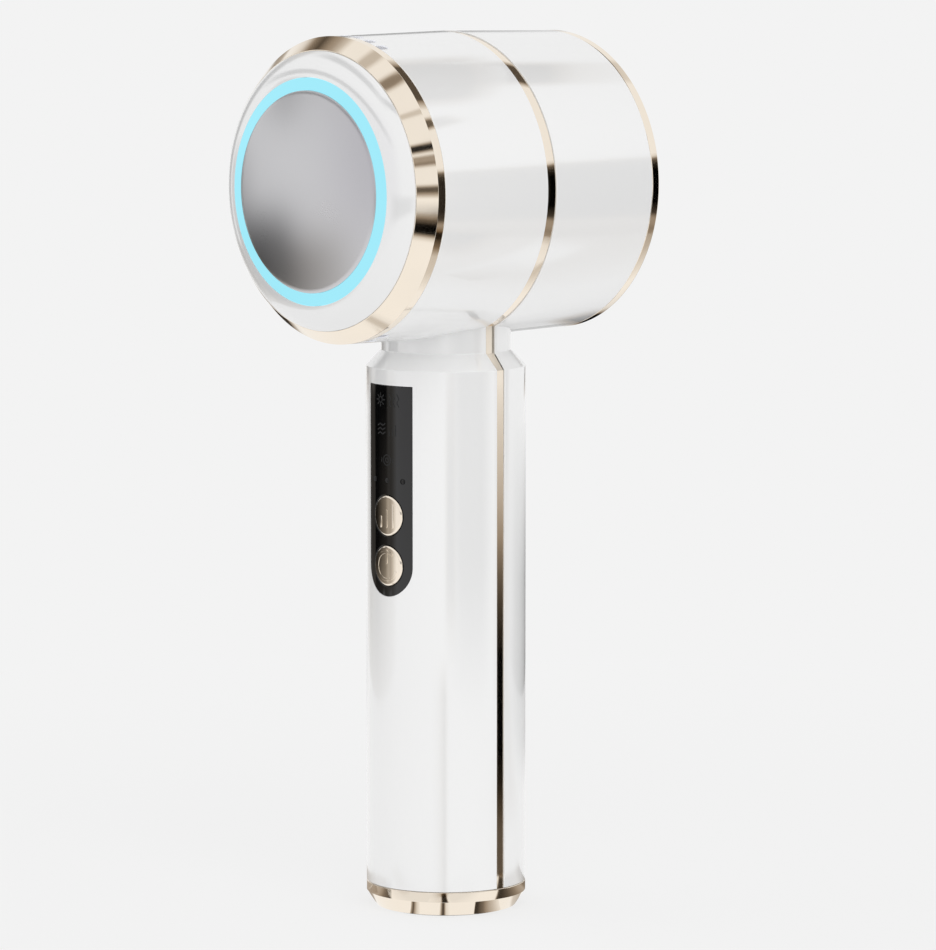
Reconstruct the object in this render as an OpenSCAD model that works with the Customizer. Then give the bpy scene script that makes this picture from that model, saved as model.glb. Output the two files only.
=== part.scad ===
// Hand-held facial toning device: a drum-shaped head on a round handle.
// Origin: on the handle's axis, on the surface that the device stands on.
// +Z points up the handle. The treatment face looks along -Y. Lengths are in millimetres.

/* [Body] */
// Diameter of the drum at its middle ring
head_d = 65; // [62:0.5:70]
// Fall of the drum's radius from its middle ring to each end, for moulding draft
head_draft = 0.5; // [0.2:0.1:0.8]
// Length of the drum's moulded body, in front of the handle's axis and behind it alike
barrel_half = 29.85; // [29:0.25:34]
// Diameter of the handle
handle_d = 34; // [32:0.5:38]
// Diameter of the neck between handle and drum
neck_d = 27.7; // [25:0.1:30]
// Distance from the panel's top end up to where the handle starts to narrow
shoulder_rise = 3.3; // [2:0.1:6]
// Height of the narrowing itself
shoulder_h = 3.4; // [2:0.2:5]
// Height of neck that shows between the narrowing and the drum
neck_h = 2.4; // [1:0.1:8]
// Wall of the two moulded shells
wall = 2; // [1.6:0.1:2.2]
// Gap at each joint line between outer pieces
joint_gap = 0.05; // [0.02:0.01:0.1]

/* [Metal trim] */
// Width of the trim where it is the drum's middle ring and crosses the neck
ring_w = 2.4; // [2:0.1:4]
// Width of the trim on the handle's sides
strip_w = 2; // [1.6:0.1:3]
// Depth of the trim below the shells' surface
trim_recess = 0.25; // [0.1:0.05:0.5]
// Thickness of the trim, measured inwards
trim_t = 2.6; // [2.2:0.1:3.5]
// Length of the rear ring
rear_ring_w = 2.15; // [1.8:0.05:4]
// Face width of the rear ring
rear_ring_face = 3.4; // [3:0.1:6]
// Edge break on the metal rings
edge_break = 0.3; // [0.1:0.05:0.5]
// Length of the rings' spigots inside the shells
spigot_len = 2.7; // [2:0.1:4]

/* [Treatment end] */
// Length of the bezel's straight band
band_w = 2.1; // [1.6:0.1:4]
// Length of the bezel's sloping band
slope_len = 3.75; // [2:0.25:6]
// Width of the bezel's sloping band, seen from the front
slope_w = 3; // [2:0.1:4]
// Length of the rounded white nose in front of the bezel
nose_len = 2.9; // [2:0.1:4]
// Radius of the nose's rounding
nose_round = 9.8; // [6:0.2:14]
// Width of the nose, from the bezel to the light ring
nose_w = 5.4; // [4.8:0.1:8]
// Face width of the light ring
light_w = 2.55; // [1.5:0.05:4]
// Fall of the light ring's face, from its inner to its outer edge
light_slope = 0.55; // [0.2:0.05:1]
// Radius of the treatment plate's dome
dome_round = 108; // [60:2:200]
// Thickness of the treatment plate at its edge
plate_edge = 0.75; // [0.5:0.05:1.5]
// Depth of the plate's skirt behind that edge
skirt_depth = 4.2; // [3:0.1:4.8]
// Thickness of the skirt
skirt_t = 1.2; // [0.8:0.1:2]
// Thickness of the plate's seal
seal_t = 1; // [0.6:0.1:1.5]
// Thickness of the annular board behind the light ring
ring_board_t = 1; // [0.8:0.1:1.6]
// Number of light sources behind the light ring
ring_led_count = 12; // [6:1:18]
// Thickness of the plate carrier's flange
carrier_t = 2; // [1.5:0.1:3]
// Gap all round the aluminium coupling disc, inside the plate's skirt
coupling_margin = 4.8; // [2:0.1:7]
// Thickness of the coupling disc
coupling_t = 2; // [1:0.1:2.2]
// Width of coupling disc that shows all round the ultrasonic disc
piezo_margin = 2.5; // [2.2:0.1:5]
// Thickness of the ultrasonic disc
piezo_t = 2; // [1:0.1:2.2]

/* [Air slots] */
// Number of slots in each group, at the top and at the bottom of the drum
slot_count = 7; // [3:1:9]
// Angle from slot to slot
slot_pitch = 7; // [6:0.25:8]
// Width of a slot
slot_w = 1.7; // [1:0.1:2.2]
// Length of a slot, from the bezel to its round end
slot_len = 2.45; // [1.5:0.05:5]

/* [Control panel] */
// Width of the black panel
panel_w = 13; // [12:0.1:15]
// Distance from the top symbol window's middle up to the panel's square end
panel_margin = 3.1; // [2.5:0.1:6]
// Height of the lower button above the main board's lower end
power_rise = 7.25; // [6.5:0.05:10]
// Gap between the flanges of the two buttons
flange_spacing = 0.25; // [0.2:0.05:4]
// Distance from the upper button's flange to the row of indicator lights
indicator_gap = 2.3; // [1.8:0.1:4]
// Distance between neighbouring indicator lights
indicator_pitch = 4.3; // [3:0.1:4.8]
// Diameter of an indicator light
indicator_d = 1.1; // [0.8:0.1:2]
// Thickness of the panel
panel_t = 1.2; // [0.8:0.1:1.4]
// Thickness of the shell's floor under the panel
floor_t = 1.2; // [1:0.1:1.6]
// Diameter of a button's face
button_d = 8.44; // [7.5:0.02:9]
// Rise of the buttons' faces above the panel
button_rise = 0.2; // [0:0.05:0.5]
// Gap all round a button
button_gap = 0.18; // [0.1:0.02:0.3]
// Travel of a button
button_travel = 0.4; // [0.2:0.05:0.5]
// Distance from the indicator lights to the lowest symbol window
window_rise = 4.3; // [3.8:0.1:6]
// Distance from one symbol window to the next
window_pitch = 6.35; // [5:0.05:8]
// Width of a symbol window
window_w = 8.4; // [6:0.2:9]
// Height of a symbol window
window_h = 3.2; // [2:0.1:4]

/* [Handle contents] */
// Diameter of the battery cell
battery_d = 18.4; // [14.2:0.1:20]
// Length of the battery cell
battery_len = 50; // [40:0.5:65]
// Gap between the battery cradle and the main board above it
board_clearance = 0.9; // [0.5:0.1:3]
// Gap between the main board and the bosses on both sides of it
board_side_gap = 0.4; // [0.2:0.1:1]
// Distance from the shell's inner face to the chassis screws
chassis_screw_inset = 4.1; // [3.6:0.1:5]
// Thickness of every circuit board but the annular one
board_t = 1.2; // [0.8:0.1:1.6]
// Width of a push switch
switch_w = 6.2; // [4.5:0.1:6.5]
// Height of a push switch
switch_h = 2.4; // [2:0.1:3]

/* [Base] */
// Height of the base cap's straight band
base_band_h = 2.2; // [1.5:0.1:4]
// Height of the base cap's chamfer
base_chamfer_h = 3.1; // [2:0.1:5]
// Width of the base cap's chamfer
base_chamfer_w = 2.1; // [1:0.1:2.6]
// Height by which the base pad stands proud of the cap
pad_proud = 0.3; // [0.2:0.1:1]
// Thickness of the base pad
pad_t = 1; // [0.8:0.1:1.4]
// Distance from the handle's axis to the charging socket
socket_y = 5.5; // [5:0.25:6]
// Height of the charging socket's mouth above the table
socket_low = 0.8; // [0.4:0.1:1.5]
// Height of the bosses between the charge board and the battery cradle
base_boss_h = 5.1; // [3:0.1:8]
// Width of the charging socket
socket_w = 8.94; // [8:0.02:9]
// Thickness of the charging socket
socket_d = 3.26; // [3:0.02:3.4]
// Length of the charging socket
socket_len = 7.2; // [6:0.1:7.4]

/* [Head contents] */
// Distance from the drum's front edge back to the driver board's rear face
driver_inset = 7.85; // [7:0.05:10]
// Gap between the off-centre weight and the rear cap
weight_clearance = 2.25; // [1:0.05:4]
// Gap between the motor bracket and the off-centre weight
weight_gap = 1.7; // [0.8:0.1:3]
// Width of the motor bracket's arms
bracket_arm = 6.4; // [5:0.1:9]
// Length of the collar that grips the motor
collar_len = 9; // [5:0.5:12]
// Wall of that collar
collar_t = 2; // [1:0.1:3]
// Thickness of the motor bracket
bracket_t = 1.6; // [1.2:0.1:2]
// Diameter of the vibration motor
motor_d = 12; // [8:0.5:16]
// Length of the vibration motor
motor_len = 18; // [14:0.5:19]
// Diameter of the motor's shaft
shaft_d = 2; // [1.5:0.1:3]
// Running clearance round the shaft
shaft_gap = 0.03; // [0.02:0.01:0.08]
// Radius of the off-centre weight
weight_r = 5.4; // [4:0.1:9]
// Length of the off-centre weight
weight_len = 3; // [2:0.1:5]
// Width of the transformer's core
core_w = 14; // [10:0.5:18]
// Height of the transformer's core
core_h = 11; // [8:0.5:14]
// Length of the transformer along the drum
core_len = 10; // [8:0.5:14]
// Thickness of each leg of the core
core_leg = 2.5; // [1.5:0.1:3.5]
// Distance from the drum's axis up to the transformer
core_rise = 9; // [8:0.5:12]
// Diameter of a driver capacitor
capacitor_d = 8; // [5:0.5:10]
// Length of a driver capacitor
capacitor_len = 11; // [6:0.5:16]
// Distance of each capacitor from the drum's middle plane
capacitor_x = 14; // [10:0.5:18]
// Width of the largest chip
chip_w = 7; // [4:0.5:8]
// Thickness of the chips
chip_t = 1; // [0.6:0.1:1.6]
// Diameter of a lead's insulation
lead_d = 1; // [0.6:0.1:1.6]
// Width of the head cable's ribbon
ribbon_w = 8; // [5:0.5:12]
// Thickness of the ribbon
ribbon_t = 0.3; // [0.2:0.05:0.5]
// Depth of the ribbon's plugs
plug_t = 1.4; // [1:0.1:2]
// Height of the ribbon's plugs
plug_h = 4; // [3:0.1:5]

/* [Screws] */
// Thread diameter of the four long head screws
head_screw_d = 3; // [2.5:0.1:3]
// Length of thread that each head screw holds in the front shell
head_screw_bite = 11; // [8:0.5:14]
// Thread diameter of the small screws
small_screw_d = 2; // [1.6:0.1:2.2]
// Length of thread that a driver board screw holds
driver_screw_bite = 5; // [3:0.5:7]
// Length of thread that a chassis screw holds
chassis_screw_bite = 3; // [2:0.1:4]
// Length of thread that a main board screw holds
board_screw_bite = 2.4; // [1.5:0.1:2.7]
// Depth of a hole beyond its screw's tip
tip_room = 1; // [0.5:0.1:1.5]
// Gap between a thread and its hole
thread_gap = 0.02; // [0.01:0.01:0.05]
// Gap between a shank and a hole that it passes through
shank_gap = 0.15; // [0.1:0.05:0.3]

/* [Hidden] */

$fn = 96;
// Overlap of touching shapes within one piece, and reach of cuts that go right through
eps = 0.01;
through = 100;

// Colours
white = [0.93, 0.93, 0.94];
gold = [0.83, 0.75, 0.66];
cyan = [0.66, 0.92, 0.98];
steel = [0.78, 0.78, 0.8];
black = [0.07, 0.07, 0.08];
green = [0.1, 0.35, 0.22];
grey = [0.45, 0.46, 0.48];

// Radii and heights of the outer form
head_r = head_d / 2;
end_r = head_r - head_draft;
handle_r = handle_d / 2;
handle_in_r = handle_r - wall;
neck_r = neck_d / 2;
base_top = pad_proud + base_chamfer_h + base_band_h;
ring_half = ring_w / 2;
strip_half = strip_w / 2;

// Treatment end, from the shell's edge forwards
shell_front = -barrel_half;
band_front = shell_front - band_w;
bezel_front = band_front - slope_len;
bezel_in_r = end_r - slope_w;
nose_front = bezel_front - nose_len;
light_r = bezel_in_r - nose_w;
light_in_r = light_r - light_w;
light_front = nose_front - light_slope;
plate_r = light_in_r - joint_gap;
plate_inner_y = light_front + plate_edge;
skirt_rear = light_front + plate_edge + skirt_depth;
ring_board_front = skirt_rear + seal_t;
ring_board_rear = ring_board_front + ring_board_t;
carrier_rear = ring_board_rear + carrier_t;
ring_board_in_r = plate_r + 0.4;
ring_board_r = bezel_in_r - 1.4;
lip_in_r = ring_board_r + 0.1;
carrier_r = bezel_in_r - 0.7;
spigot_r = end_r - wall - joint_gap;
nose_skirt_t = 1;
nose_wall = 1.2;
nose_screw_reach = 0.6;
nose_hole_reach = 0.8;
carrier_screw_r = (light_r + bezel_in_r) / 2 - 0.35;
light_rear = ring_board_front - 0.9;
led_h = 0.7;
led_w = 1.4;
coupling_r = plate_r - skirt_t - coupling_margin;
piezo_r = coupling_r - piezo_margin;
coupling_front = plate_inner_y;
coupling_rear = coupling_front + coupling_t;
piezo_rear = coupling_rear + piezo_t;

// Posts that join the two shells inside the drum, and reach 0.2 into its wall
post_angles = [45, 135, 225, 315];
head_screw_r = head_screw_d / 2;
head_screw_head_r = head_screw_r + 1;
head_screw_head_h = 1.7;
post_ring_r = end_r - wall - head_screw_head_r - 0.15;
post_r = head_r - wall - post_ring_r + 0.2;
small_screw_r = small_screw_d / 2;
driver_r = end_r - wall - 0.5;
driver_rear = shell_front + driver_inset;
driver_front = driver_rear - board_t;

// Rear end, and the motor in front of it
rear_front = barrel_half;
rear_end = rear_front + rear_ring_w;
cap_r = end_r - rear_ring_face;
cap_seat = rear_front + 0.15;
weight_rear = cap_seat - weight_clearance;
weight_front = weight_rear - weight_len;
bracket_rear = weight_front - weight_gap;
bracket_front = bracket_rear - bracket_t;
bracket_r = end_r - wall - 0.3;
motor_r = motor_d / 2;
motor_rear = bracket_front;
motor_front = motor_rear - motor_len;
shaft_r = shaft_d / 2;
cap_plug_t = 1.4;
cap_lip = 0.9;
cap_inset = 0.4;

// Buttons, from the handle's surface inwards
panel_half = panel_w / 2;
panel_in_r = handle_r - panel_t;
floor_in_r = panel_in_r - floor_t;
button_r = button_d / 2;
button_hole_r = button_r + button_gap;
flange_r = button_hole_r + 0.8;
flange_t = 0.8;

// Heights, from the table up: socket, charge board, battery, panel, neck and drum
pad_top = pad_t;
charge_z = socket_low + socket_len;
charge_top = charge_z + board_t;
tab_t = 0.3;
cradle_t = 1.6;
cradle_low = charge_top + base_boss_h;
battery_z = cradle_low + tab_t;
battery_top = battery_z + battery_len;
cradle_high = battery_top + tab_t;
board_z = cradle_high + cradle_t + board_clearance;
power_z = board_z + power_rise;
mode_z = power_z + 2 * flange_r + flange_spacing;
indicator_z = mode_z + flange_r + indicator_gap;
window_z = indicator_z + window_rise;
window_levels = [for (i = [0:2]) window_z + i * window_pitch];
panel_top_z = window_z + 2 * window_pitch + panel_margin;
shoulder_z = panel_top_z + shoulder_rise;
neck_z = shoulder_z + shoulder_h;
head_z = neck_z + neck_h + head_r;
neck_top = head_z - head_r * 0.8;

// Switches and main board
indicator_xs = [-indicator_pitch, 0, indicator_pitch];
flange_front = -sqrt(pow(floor_in_r, 2) - pow(flange_r, 2)) + 0.3;
flange_rear = flange_front + flange_t;
switch_front = flange_rear + button_travel + 0.5;
board_front = switch_front + switch_h;
board_rear = board_front + board_t;
chassis_screw_x = handle_in_r - chassis_screw_inset;
boss_r = small_screw_r + 1;
board_half = chassis_screw_x - boss_r - board_side_gap;
board_top = panel_top_z;
stem_r = 1.6;
stem_gap = 0.05;
stem_depth = 0.8;
chassis_front = board_rear + 1.4;
chassis_t = 1.4;
chassis_rear = chassis_front + chassis_t;
frame_half = panel_half - 0.9;
frame_front = -sqrt(pow(floor_in_r, 2) - pow(frame_half, 2)) + 0.2;
board_screw_x = board_half - 2.1;
board_screw_zs = [board_z + 1.9, indicator_z - 3.5];
chassis_screw_zs = [board_z + 4, board_top - 5];
small_head_r = small_screw_r + 0.8;
small_head_h = 1.1;
buzzer_r = 3.4;
buzzer_x = 4.2;
buzzer_drop = 12;

// Battery cradle and base
battery_r = battery_d / 2;
cradle_in_r = battery_r + 0.2;
cradle_r = cradle_in_r + cradle_t;
base_floor_top = pad_proud + 2;
pad_r = handle_r - base_chamfer_w - 1;
charge_r = handle_in_r - 1.6;
base_screw_x = handle_in_r - 4.4;
base_post_r = 2.2;
spigot_t = 1.4;
base_spigot_r = handle_in_r - joint_gap;
base_spigot_top = charge_top + 1.5;

// ---------- Shapes used by several pieces ----------

// A revolved solid about the drum's axis, from points of [radius, y]
module drum_turned(points) {
    translate([0, 0, head_z])
        rotate([-90, 0, 0])
            rotate_extrude()
                polygon(points);
}

// A rod along Y at one x and z
module rod_y(x, z, y0, y1, r) {
    translate([x, y0, z])
        rotate([-90, 0, 0])
            cylinder(r = r, h = y1 - y0);
}

// A rod along Y, at a radius from the drum's axis and an angle from its top
module drum_rod(radius, angle, y0, y1, r) {
    rod_y(radius * sin(angle), head_z + radius * cos(angle), y0, y1, r);
}

// A block between two opposite corners
module block(low, high) {
    translate(low)
        cube(high - low);
}

// A plate with round ends at each side: the mouth of the charging socket
module socket_outline(grow, z0, z1) {
    r = socket_d / 2 + grow;
    half = socket_w / 2 + grow - r;
    translate([0, socket_y, z0]) {
        for (x = [-half, half])
            translate([x, 0, 0])
                cylinder(r = r, h = z1 - z0);
        translate([-half, -r, 0])
            cube([2 * half, 2 * r, z1 - z0]);
    }
}

// A screw along Y: the head starts at y and lies towards head_side, the thread goes the other way
module screw_y(x, z, y, reach, r, head_side, head_r, head_h) {
    head_low = head_side > 0 ? y : y - head_h;
    thread_low = head_side > 0 ? y - reach : y;
    difference() {
        union() {
            rod_y(x, z, head_low, head_low + head_h, head_r);
            rod_y(x, z, thread_low - eps, thread_low + reach + eps, r);
        }
        translate([x, head_side > 0 ? y + head_h : y - head_h, z])
            cube([head_r * 1.2, head_h, head_r * 0.25], center = true);
    }
}

// The whole outer form of drum, neck and handle, moved inwards by depth
module outer_form(depth, overrun = 0) {
    slope = head_draft / barrel_half;
    end = barrel_half + overrun;
    over_r = head_r - slope * end;
    drum_turned([[0, -end], [over_r - depth, -end], [head_r - depth, 0], [over_r - depth, end],
        [0, end]]);
    rotate_extrude()
        polygon([[0, base_top - overrun], [handle_r - depth, base_top - overrun],
            [handle_r - depth, shoulder_z - depth * 0.4], [neck_r - depth, neck_z - depth * 0.4],
            [neck_r - depth, neck_top], [0, neck_top]]);
}

// The slab between the shells that the trim fills, wider above the shoulder
module trim_slab(grow) {
    low = strip_half + grow;
    high = ring_half + grow;
    top = head_z + head_d;
    translate([-through / 2, 0, 0])
        rotate([90, 0, 90])
            linear_extrude(height = through)
                polygon([[-low, -1], [low, -1], [low, shoulder_z], [high, neck_z], [high, top],
                    [-high, top], [-high, neck_z], [-low, shoulder_z]]);
}

// One half of the moulded shell: side is -1 for the front and 1 for the rear
module half_shell(side) {
    intersection() {
        difference() {
            outer_form(0);
            outer_form(wall, 1);
            trim_slab(joint_gap);
        }
        translate([-through / 2, side > 0 ? 0 : -through, 0])
            cube([through, through, 3 * through]);
    }
}

// The panel's outline, extruded along Y, grown all round
module panel_prism(grow) {
    half = panel_half + grow;
    translate([0, -handle_r / 2, 0])
        rotate([90, 0, 0])
            linear_extrude(height = handle_r) {
                translate([-half, power_z])
                    square([2 * half, panel_top_z + grow - power_z]);
                translate([0, power_z])
                    circle(r = half);
            }
}

// A ring round the handle's axis between two radii, over the panel's height
module handle_ring(r_in, r_out) {
    low = power_z - panel_half - 3;
    translate([0, 0, low])
        difference() {
            cylinder(r = r_out, h = panel_top_z + 3 - low);
            translate([0, 0, -1])
                cylinder(r = r_in, h = panel_top_z + 5 - low);
        }
}

// A square chip whose face lies in an XZ plane, from y towards +Y
module chip_y(x, z, y, w) {
    block([x - w / 2, y, z - w / 2], [x + w / 2, y + chip_t, z + w / 2]);
}

// Positions of the small screws that hold the chassis
module at_chassis_screws() {
    for (x = [-chassis_screw_x, chassis_screw_x], z = chassis_screw_zs)
        translate([x, 0, z])
            children();
}

// ---------- Outer shells and trim ----------

module front_shell() {
    color(white)
        difference() {
            union() {
                half_shell(-1);
                // floor under the panel
                intersection() {
                    panel_prism(0.9);
                    handle_ring(floor_in_r, handle_r - 0.3);
                }
                // posts inside the drum
                for (a = post_angles)
                    drum_rod(post_ring_r, a, driver_rear, -ring_half - joint_gap, post_r);
                // bosses that carry the chassis
                intersection() {
                    at_chassis_screws()
                        rod_y(0, 0, -handle_r, chassis_front, boss_r);
                    cylinder(r = handle_r - 0.5, h = 2 * through);
                }
            }
            // pocket for the panel
            intersection() {
                panel_prism(joint_gap);
                handle_ring(panel_in_r - joint_gap, handle_r + 1);
            }
            // holes for the buttons, the indicators and the symbols
            for (z = [power_z, mode_z])
                rod_y(0, z, -handle_r - 1, -floor_in_r / 2, button_hole_r);
            for (x = indicator_xs)
                rod_y(x, indicator_z, -handle_r - 1, -floor_in_r / 2, indicator_d / 2 + joint_gap);
            for (z = window_levels)
                block([-window_w / 2, -handle_r, z - window_h / 2],
                    [window_w / 2, -floor_in_r / 2, z + window_h / 2]);
            // air slots behind the bezel, at the top and at the bottom
            for (side = [0, 180], i = [0:slot_count - 1])
                translate([0, 0, head_z])
                    rotate([0, side + (i - (slot_count - 1) / 2) * slot_pitch, 0])
                        air_slot();
            // thread holes
            for (a = post_angles) {
                drum_rod(post_ring_r, a, -head_screw_bite - tip_room, 0,
                    head_screw_r + thread_gap);
                drum_rod(post_ring_r, a, driver_rear - 1,
                    driver_rear + driver_screw_bite + tip_room, small_screw_r + thread_gap);
            }
            at_chassis_screws()
                rod_y(0, 0, chassis_front - chassis_screw_bite - tip_room / 2, chassis_front + 1,
                    small_screw_r + thread_gap);
        }
}

// One slot through the drum's wall, open towards the bezel
module air_slot() {
    end_y = shell_front + slot_len - slot_w / 2;
    low = head_r - wall - 1;
    translate([0, end_y, low])
        cylinder(d = slot_w, h = wall + 2);
    translate([-slot_w / 2, shell_front - 1, low])
        cube([slot_w, end_y - shell_front + 1, wall + 2]);
}

module rear_shell() {
    color(white)
        difference() {
            union() {
                half_shell(1);
                for (a = post_angles)
                    drum_rod(post_ring_r, a, ring_half + joint_gap, bracket_front, post_r);
            }
            for (a = post_angles)
                drum_rod(post_ring_r, a, 0, bracket_front + 1, head_screw_r + shank_gap);
        }
}

// One piece: the drum's middle ring, two legs down the handle and four screw ears
module trim_frame() {
    color(gold)
        difference() {
            union() {
                intersection() {
                    trim_slab(0);
                    difference() {
                        outer_form(trim_recess);
                        outer_form(trim_recess + trim_t, 1);
                        // room for the base cap's spigot
                        cylinder(r = handle_in_r, h = base_spigot_top + joint_gap);
                    }
                }
                for (a = post_angles)
                    drum_rod(post_ring_r, a, -ring_half, ring_half, post_r - 0.2);
            }
            for (a = post_angles)
                drum_rod(post_ring_r, a, -ring_w, ring_w, head_screw_r + shank_gap);
        }
}

// ---------- Treatment end ----------

module front_bezel() {
    lip_front = ring_board_front;
    lip_rear = ring_board_rear;
    color(gold)
        difference() {
            drum_turned([
                [spigot_r, shell_front], [end_r - edge_break, shell_front],
                [end_r, shell_front - edge_break], [end_r, band_front],
                [bezel_in_r + joint_gap, bezel_front], [bezel_in_r + joint_gap, lip_front],
                [lip_in_r, lip_front], [lip_in_r, lip_rear], [carrier_r + 0.1, lip_rear],
                [carrier_r + 0.1, shell_front + spigot_len], [spigot_r, shell_front + spigot_len]]);
            // air way behind the slots
            slot_reach = spigot_r * sin(slot_pitch * (slot_count + 1) / 2);
            block([-slot_reach, shell_front, head_z - head_r],
                [slot_reach, shell_front + 5, head_z + head_r]);
        }
}

// The nose's rounding, from the bezel to the light ring
function nose_arc() =
    let (a = [bezel_in_r, bezel_front], b = [light_r + joint_gap, nose_front])
    let (half = norm(b - a) / 2, mid = (a + b) / 2)
    let (inward = [-(b[1] - a[1]), b[0] - a[0]] / (2 * half))
    let (centre = mid - inward * sqrt(pow(nose_round, 2) - half * half))
    let (start = atan2(a[1] - centre[1], a[0] - centre[0]))
    let (stop = atan2(b[1] - centre[1], b[0] - centre[0]))
    [for (i = [0:12]) centre + nose_round * [cos(start + (stop - start) * i / 12),
        sin(start + (stop - start) * i / 12)]];

module nose_ring() {
    inner = light_r + joint_gap;
    floor_y = bezel_front + 1.2;
    color(white)
        difference() {
            union() {
                drum_turned(concat(nose_arc(), [
                    [inner, ring_board_front], [inner + nose_wall, ring_board_front],
                    [inner + nose_wall, floor_y], [bezel_in_r - nose_skirt_t, floor_y],
                    [bezel_in_r - nose_skirt_t, ring_board_front],
                    [bezel_in_r, ring_board_front]]));
                for (a = post_angles)
                    drum_rod(carrier_screw_r, a, bezel_front, ring_board_front, small_head_r);
            }
            for (a = post_angles)
                drum_rod(carrier_screw_r, a, bezel_front - nose_hole_reach, ring_board_front + 1,
                    small_screw_r + thread_gap);
        }
}

module light_ring() {
    color(cyan)
        drum_turned([[light_r, nose_front], [light_in_r, light_front],
            [light_in_r, light_rear], [light_r, light_rear]]);
}

module treatment_plate() {
    sag = dome_round - sqrt(pow(dome_round, 2) - pow(plate_r, 2));
    color(steel) {
        difference() {
            intersection() {
                drum_turned([[0, light_front - sag - 1], [plate_r, light_front - sag - 1],
                    [plate_r, skirt_rear], [0, skirt_rear]]);
                translate([0, light_front - sag + dome_round, head_z])
                    rotate([90, 0, 0])
                        sphere(r = dome_round, $fn = 480);
            }
            rod_y(0, head_z, plate_inner_y, skirt_rear + 1, plate_r - skirt_t);
        }
    }
}

module plate_seal() {
    color(grey)
        drum_turned([[plate_r - skirt_t, skirt_rear], [plate_r, skirt_rear],
            [plate_r, ring_board_front], [plate_r - skirt_t, ring_board_front]]);
}

module plate_carrier() {
    bore_r = coupling_r + 1.2;
    color(black)
        difference() {
            drum_turned([[bore_r, ring_board_front], [plate_r + 0.1, ring_board_front],
                [plate_r + 0.1, ring_board_rear], [carrier_r, ring_board_rear],
                [carrier_r, carrier_rear], [bore_r, carrier_rear]]);
            for (a = post_angles)
                drum_rod(carrier_screw_r, a, ring_board_rear - 1, carrier_rear + 1,
                    small_screw_r + shank_gap);
        }
}

module carrier_screws() {
    color(steel)
        for (a = post_angles)
            screw_y(carrier_screw_r * sin(a), head_z + carrier_screw_r * cos(a), carrier_rear,
                carrier_rear - bezel_front + nose_screw_reach, small_screw_r, 1, small_head_r,
                small_head_h);
}

module led_ring_board() {
    color(green)
        difference() {
            drum_turned([[ring_board_in_r, ring_board_front], [ring_board_r, ring_board_front],
                [ring_board_r, ring_board_rear], [ring_board_in_r, ring_board_rear]]);
            for (a = post_angles)
                drum_rod(carrier_screw_r, a, ring_board_front - 1, ring_board_rear + 1,
                    small_screw_r + shank_gap);
        }
}

module ring_leds() {
    mid_r = (max(light_in_r, ring_board_in_r) + light_r) / 2;
    color("lightyellow")
        for (i = [0:ring_led_count - 1])
            translate([0, 0, head_z])
                rotate([0, (i + 0.5) * 360 / ring_led_count, 0])
                    translate([-led_w / 2, ring_board_front - led_h, mid_r - led_w / 2])
                        cube([led_w, led_h, led_w]);
}

module coupling_disc() {
    color(steel)
        rod_y(0, head_z, coupling_front, coupling_rear, coupling_r);
}

module ultrasonic_transducer() {
    color("tan")
        rod_y(0, head_z, coupling_rear, piezo_rear, piezo_r);
}

module transducer_leads() {
    color("firebrick")
        for (x = [-0.4, 0.4] * piezo_r)
            rod_y(x, head_z, piezo_rear, driver_front, lead_d / 2);
}

module temperature_sensor() {
    color(black)
        rod_y(0, head_z - (coupling_r + piezo_r) / 2, coupling_rear, coupling_rear + 1.5,
            piezo_margin / 2 - 0.35);
}

// ---------- Inside the drum ----------

module driver_board() {
    color(green)
        difference() {
            rod_y(0, head_z, driver_front, driver_rear, driver_r);
            for (a = post_angles)
                drum_rod(post_ring_r, a, driver_front - 1, driver_rear + 1,
                    small_screw_r + shank_gap);
        }
}

// Core with a wound bobbin between its two legs
module driver_transformer() {
    half = core_w / 2;
    low = head_z + core_rise;
    far = driver_rear + core_len;
    color("goldenrod") {
        block([-half, driver_rear, low], [half, driver_rear + core_leg, low + core_h]);
        block([-half, far - core_leg, low], [half, far, low + core_h]);
        rod_y(0, low + core_h / 2, driver_rear + core_leg - eps, far - core_leg + eps,
            core_h / 2 - 0.7);
    }
}

module driver_capacitors() {
    color(grey)
        for (x = [-capacitor_x, capacitor_x])
            rod_y(x, head_z - capacitor_d / 2, driver_rear, driver_rear + capacitor_len,
                capacitor_d / 2);
}

module driver_chips() {
    color(black)
        for (p = [[0, 0.4, 1], [-0.45, -0.3, 0.7], [0.45, -0.3, 0.7], [0, -0.5, 0.6]])
            chip_y(p[0] * driver_r, head_z + p[1] * driver_r, driver_front - chip_t,
                p[2] * chip_w);
}

module driver_screws() {
    color(steel)
        for (a = post_angles)
            screw_y(post_ring_r * sin(a), head_z + post_ring_r * cos(a), driver_front,
                board_t + driver_screw_bite, small_screw_r, -1, small_head_r, small_head_h);
}

// A cross on the four posts, with a collar that grips the motor
module motor_bracket() {
    color(grey)
        difference() {
            union() {
                intersection() {
                    rod_y(0, head_z, bracket_front, bracket_rear, bracket_r);
                    for (a = [45, 135])
                        translate([0, bracket_front, head_z])
                            rotate([0, a, 0])
                                translate([-bracket_arm / 2, 0, -head_r])
                                    cube([bracket_arm, bracket_t, head_d]);
                }
                rod_y(0, head_z, bracket_front - collar_len, bracket_rear, motor_r + collar_t);
            }
            rod_y(0, head_z, bracket_front - collar_len - 1, motor_rear, motor_r + joint_gap);
            rod_y(0, head_z, motor_rear - 1, bracket_rear + 1, shaft_r + 1);
            for (a = post_angles)
                drum_rod(post_ring_r, a, bracket_front - 1, bracket_rear + 1,
                    head_screw_r + shank_gap);
        }
}

module vibration_motor() {
    color(steel)
        difference() {
            rod_y(0, head_z, motor_front, motor_rear, motor_r);
            rod_y(0, head_z, motor_front + 2, motor_rear + 1, shaft_r + shaft_gap);
        }
}

module motor_leads() {
    color("firebrick")
        for (x = [-lead_d, lead_d] * 2)
            rod_y(x, head_z, driver_rear, motor_front, lead_d / 2);
}

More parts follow.
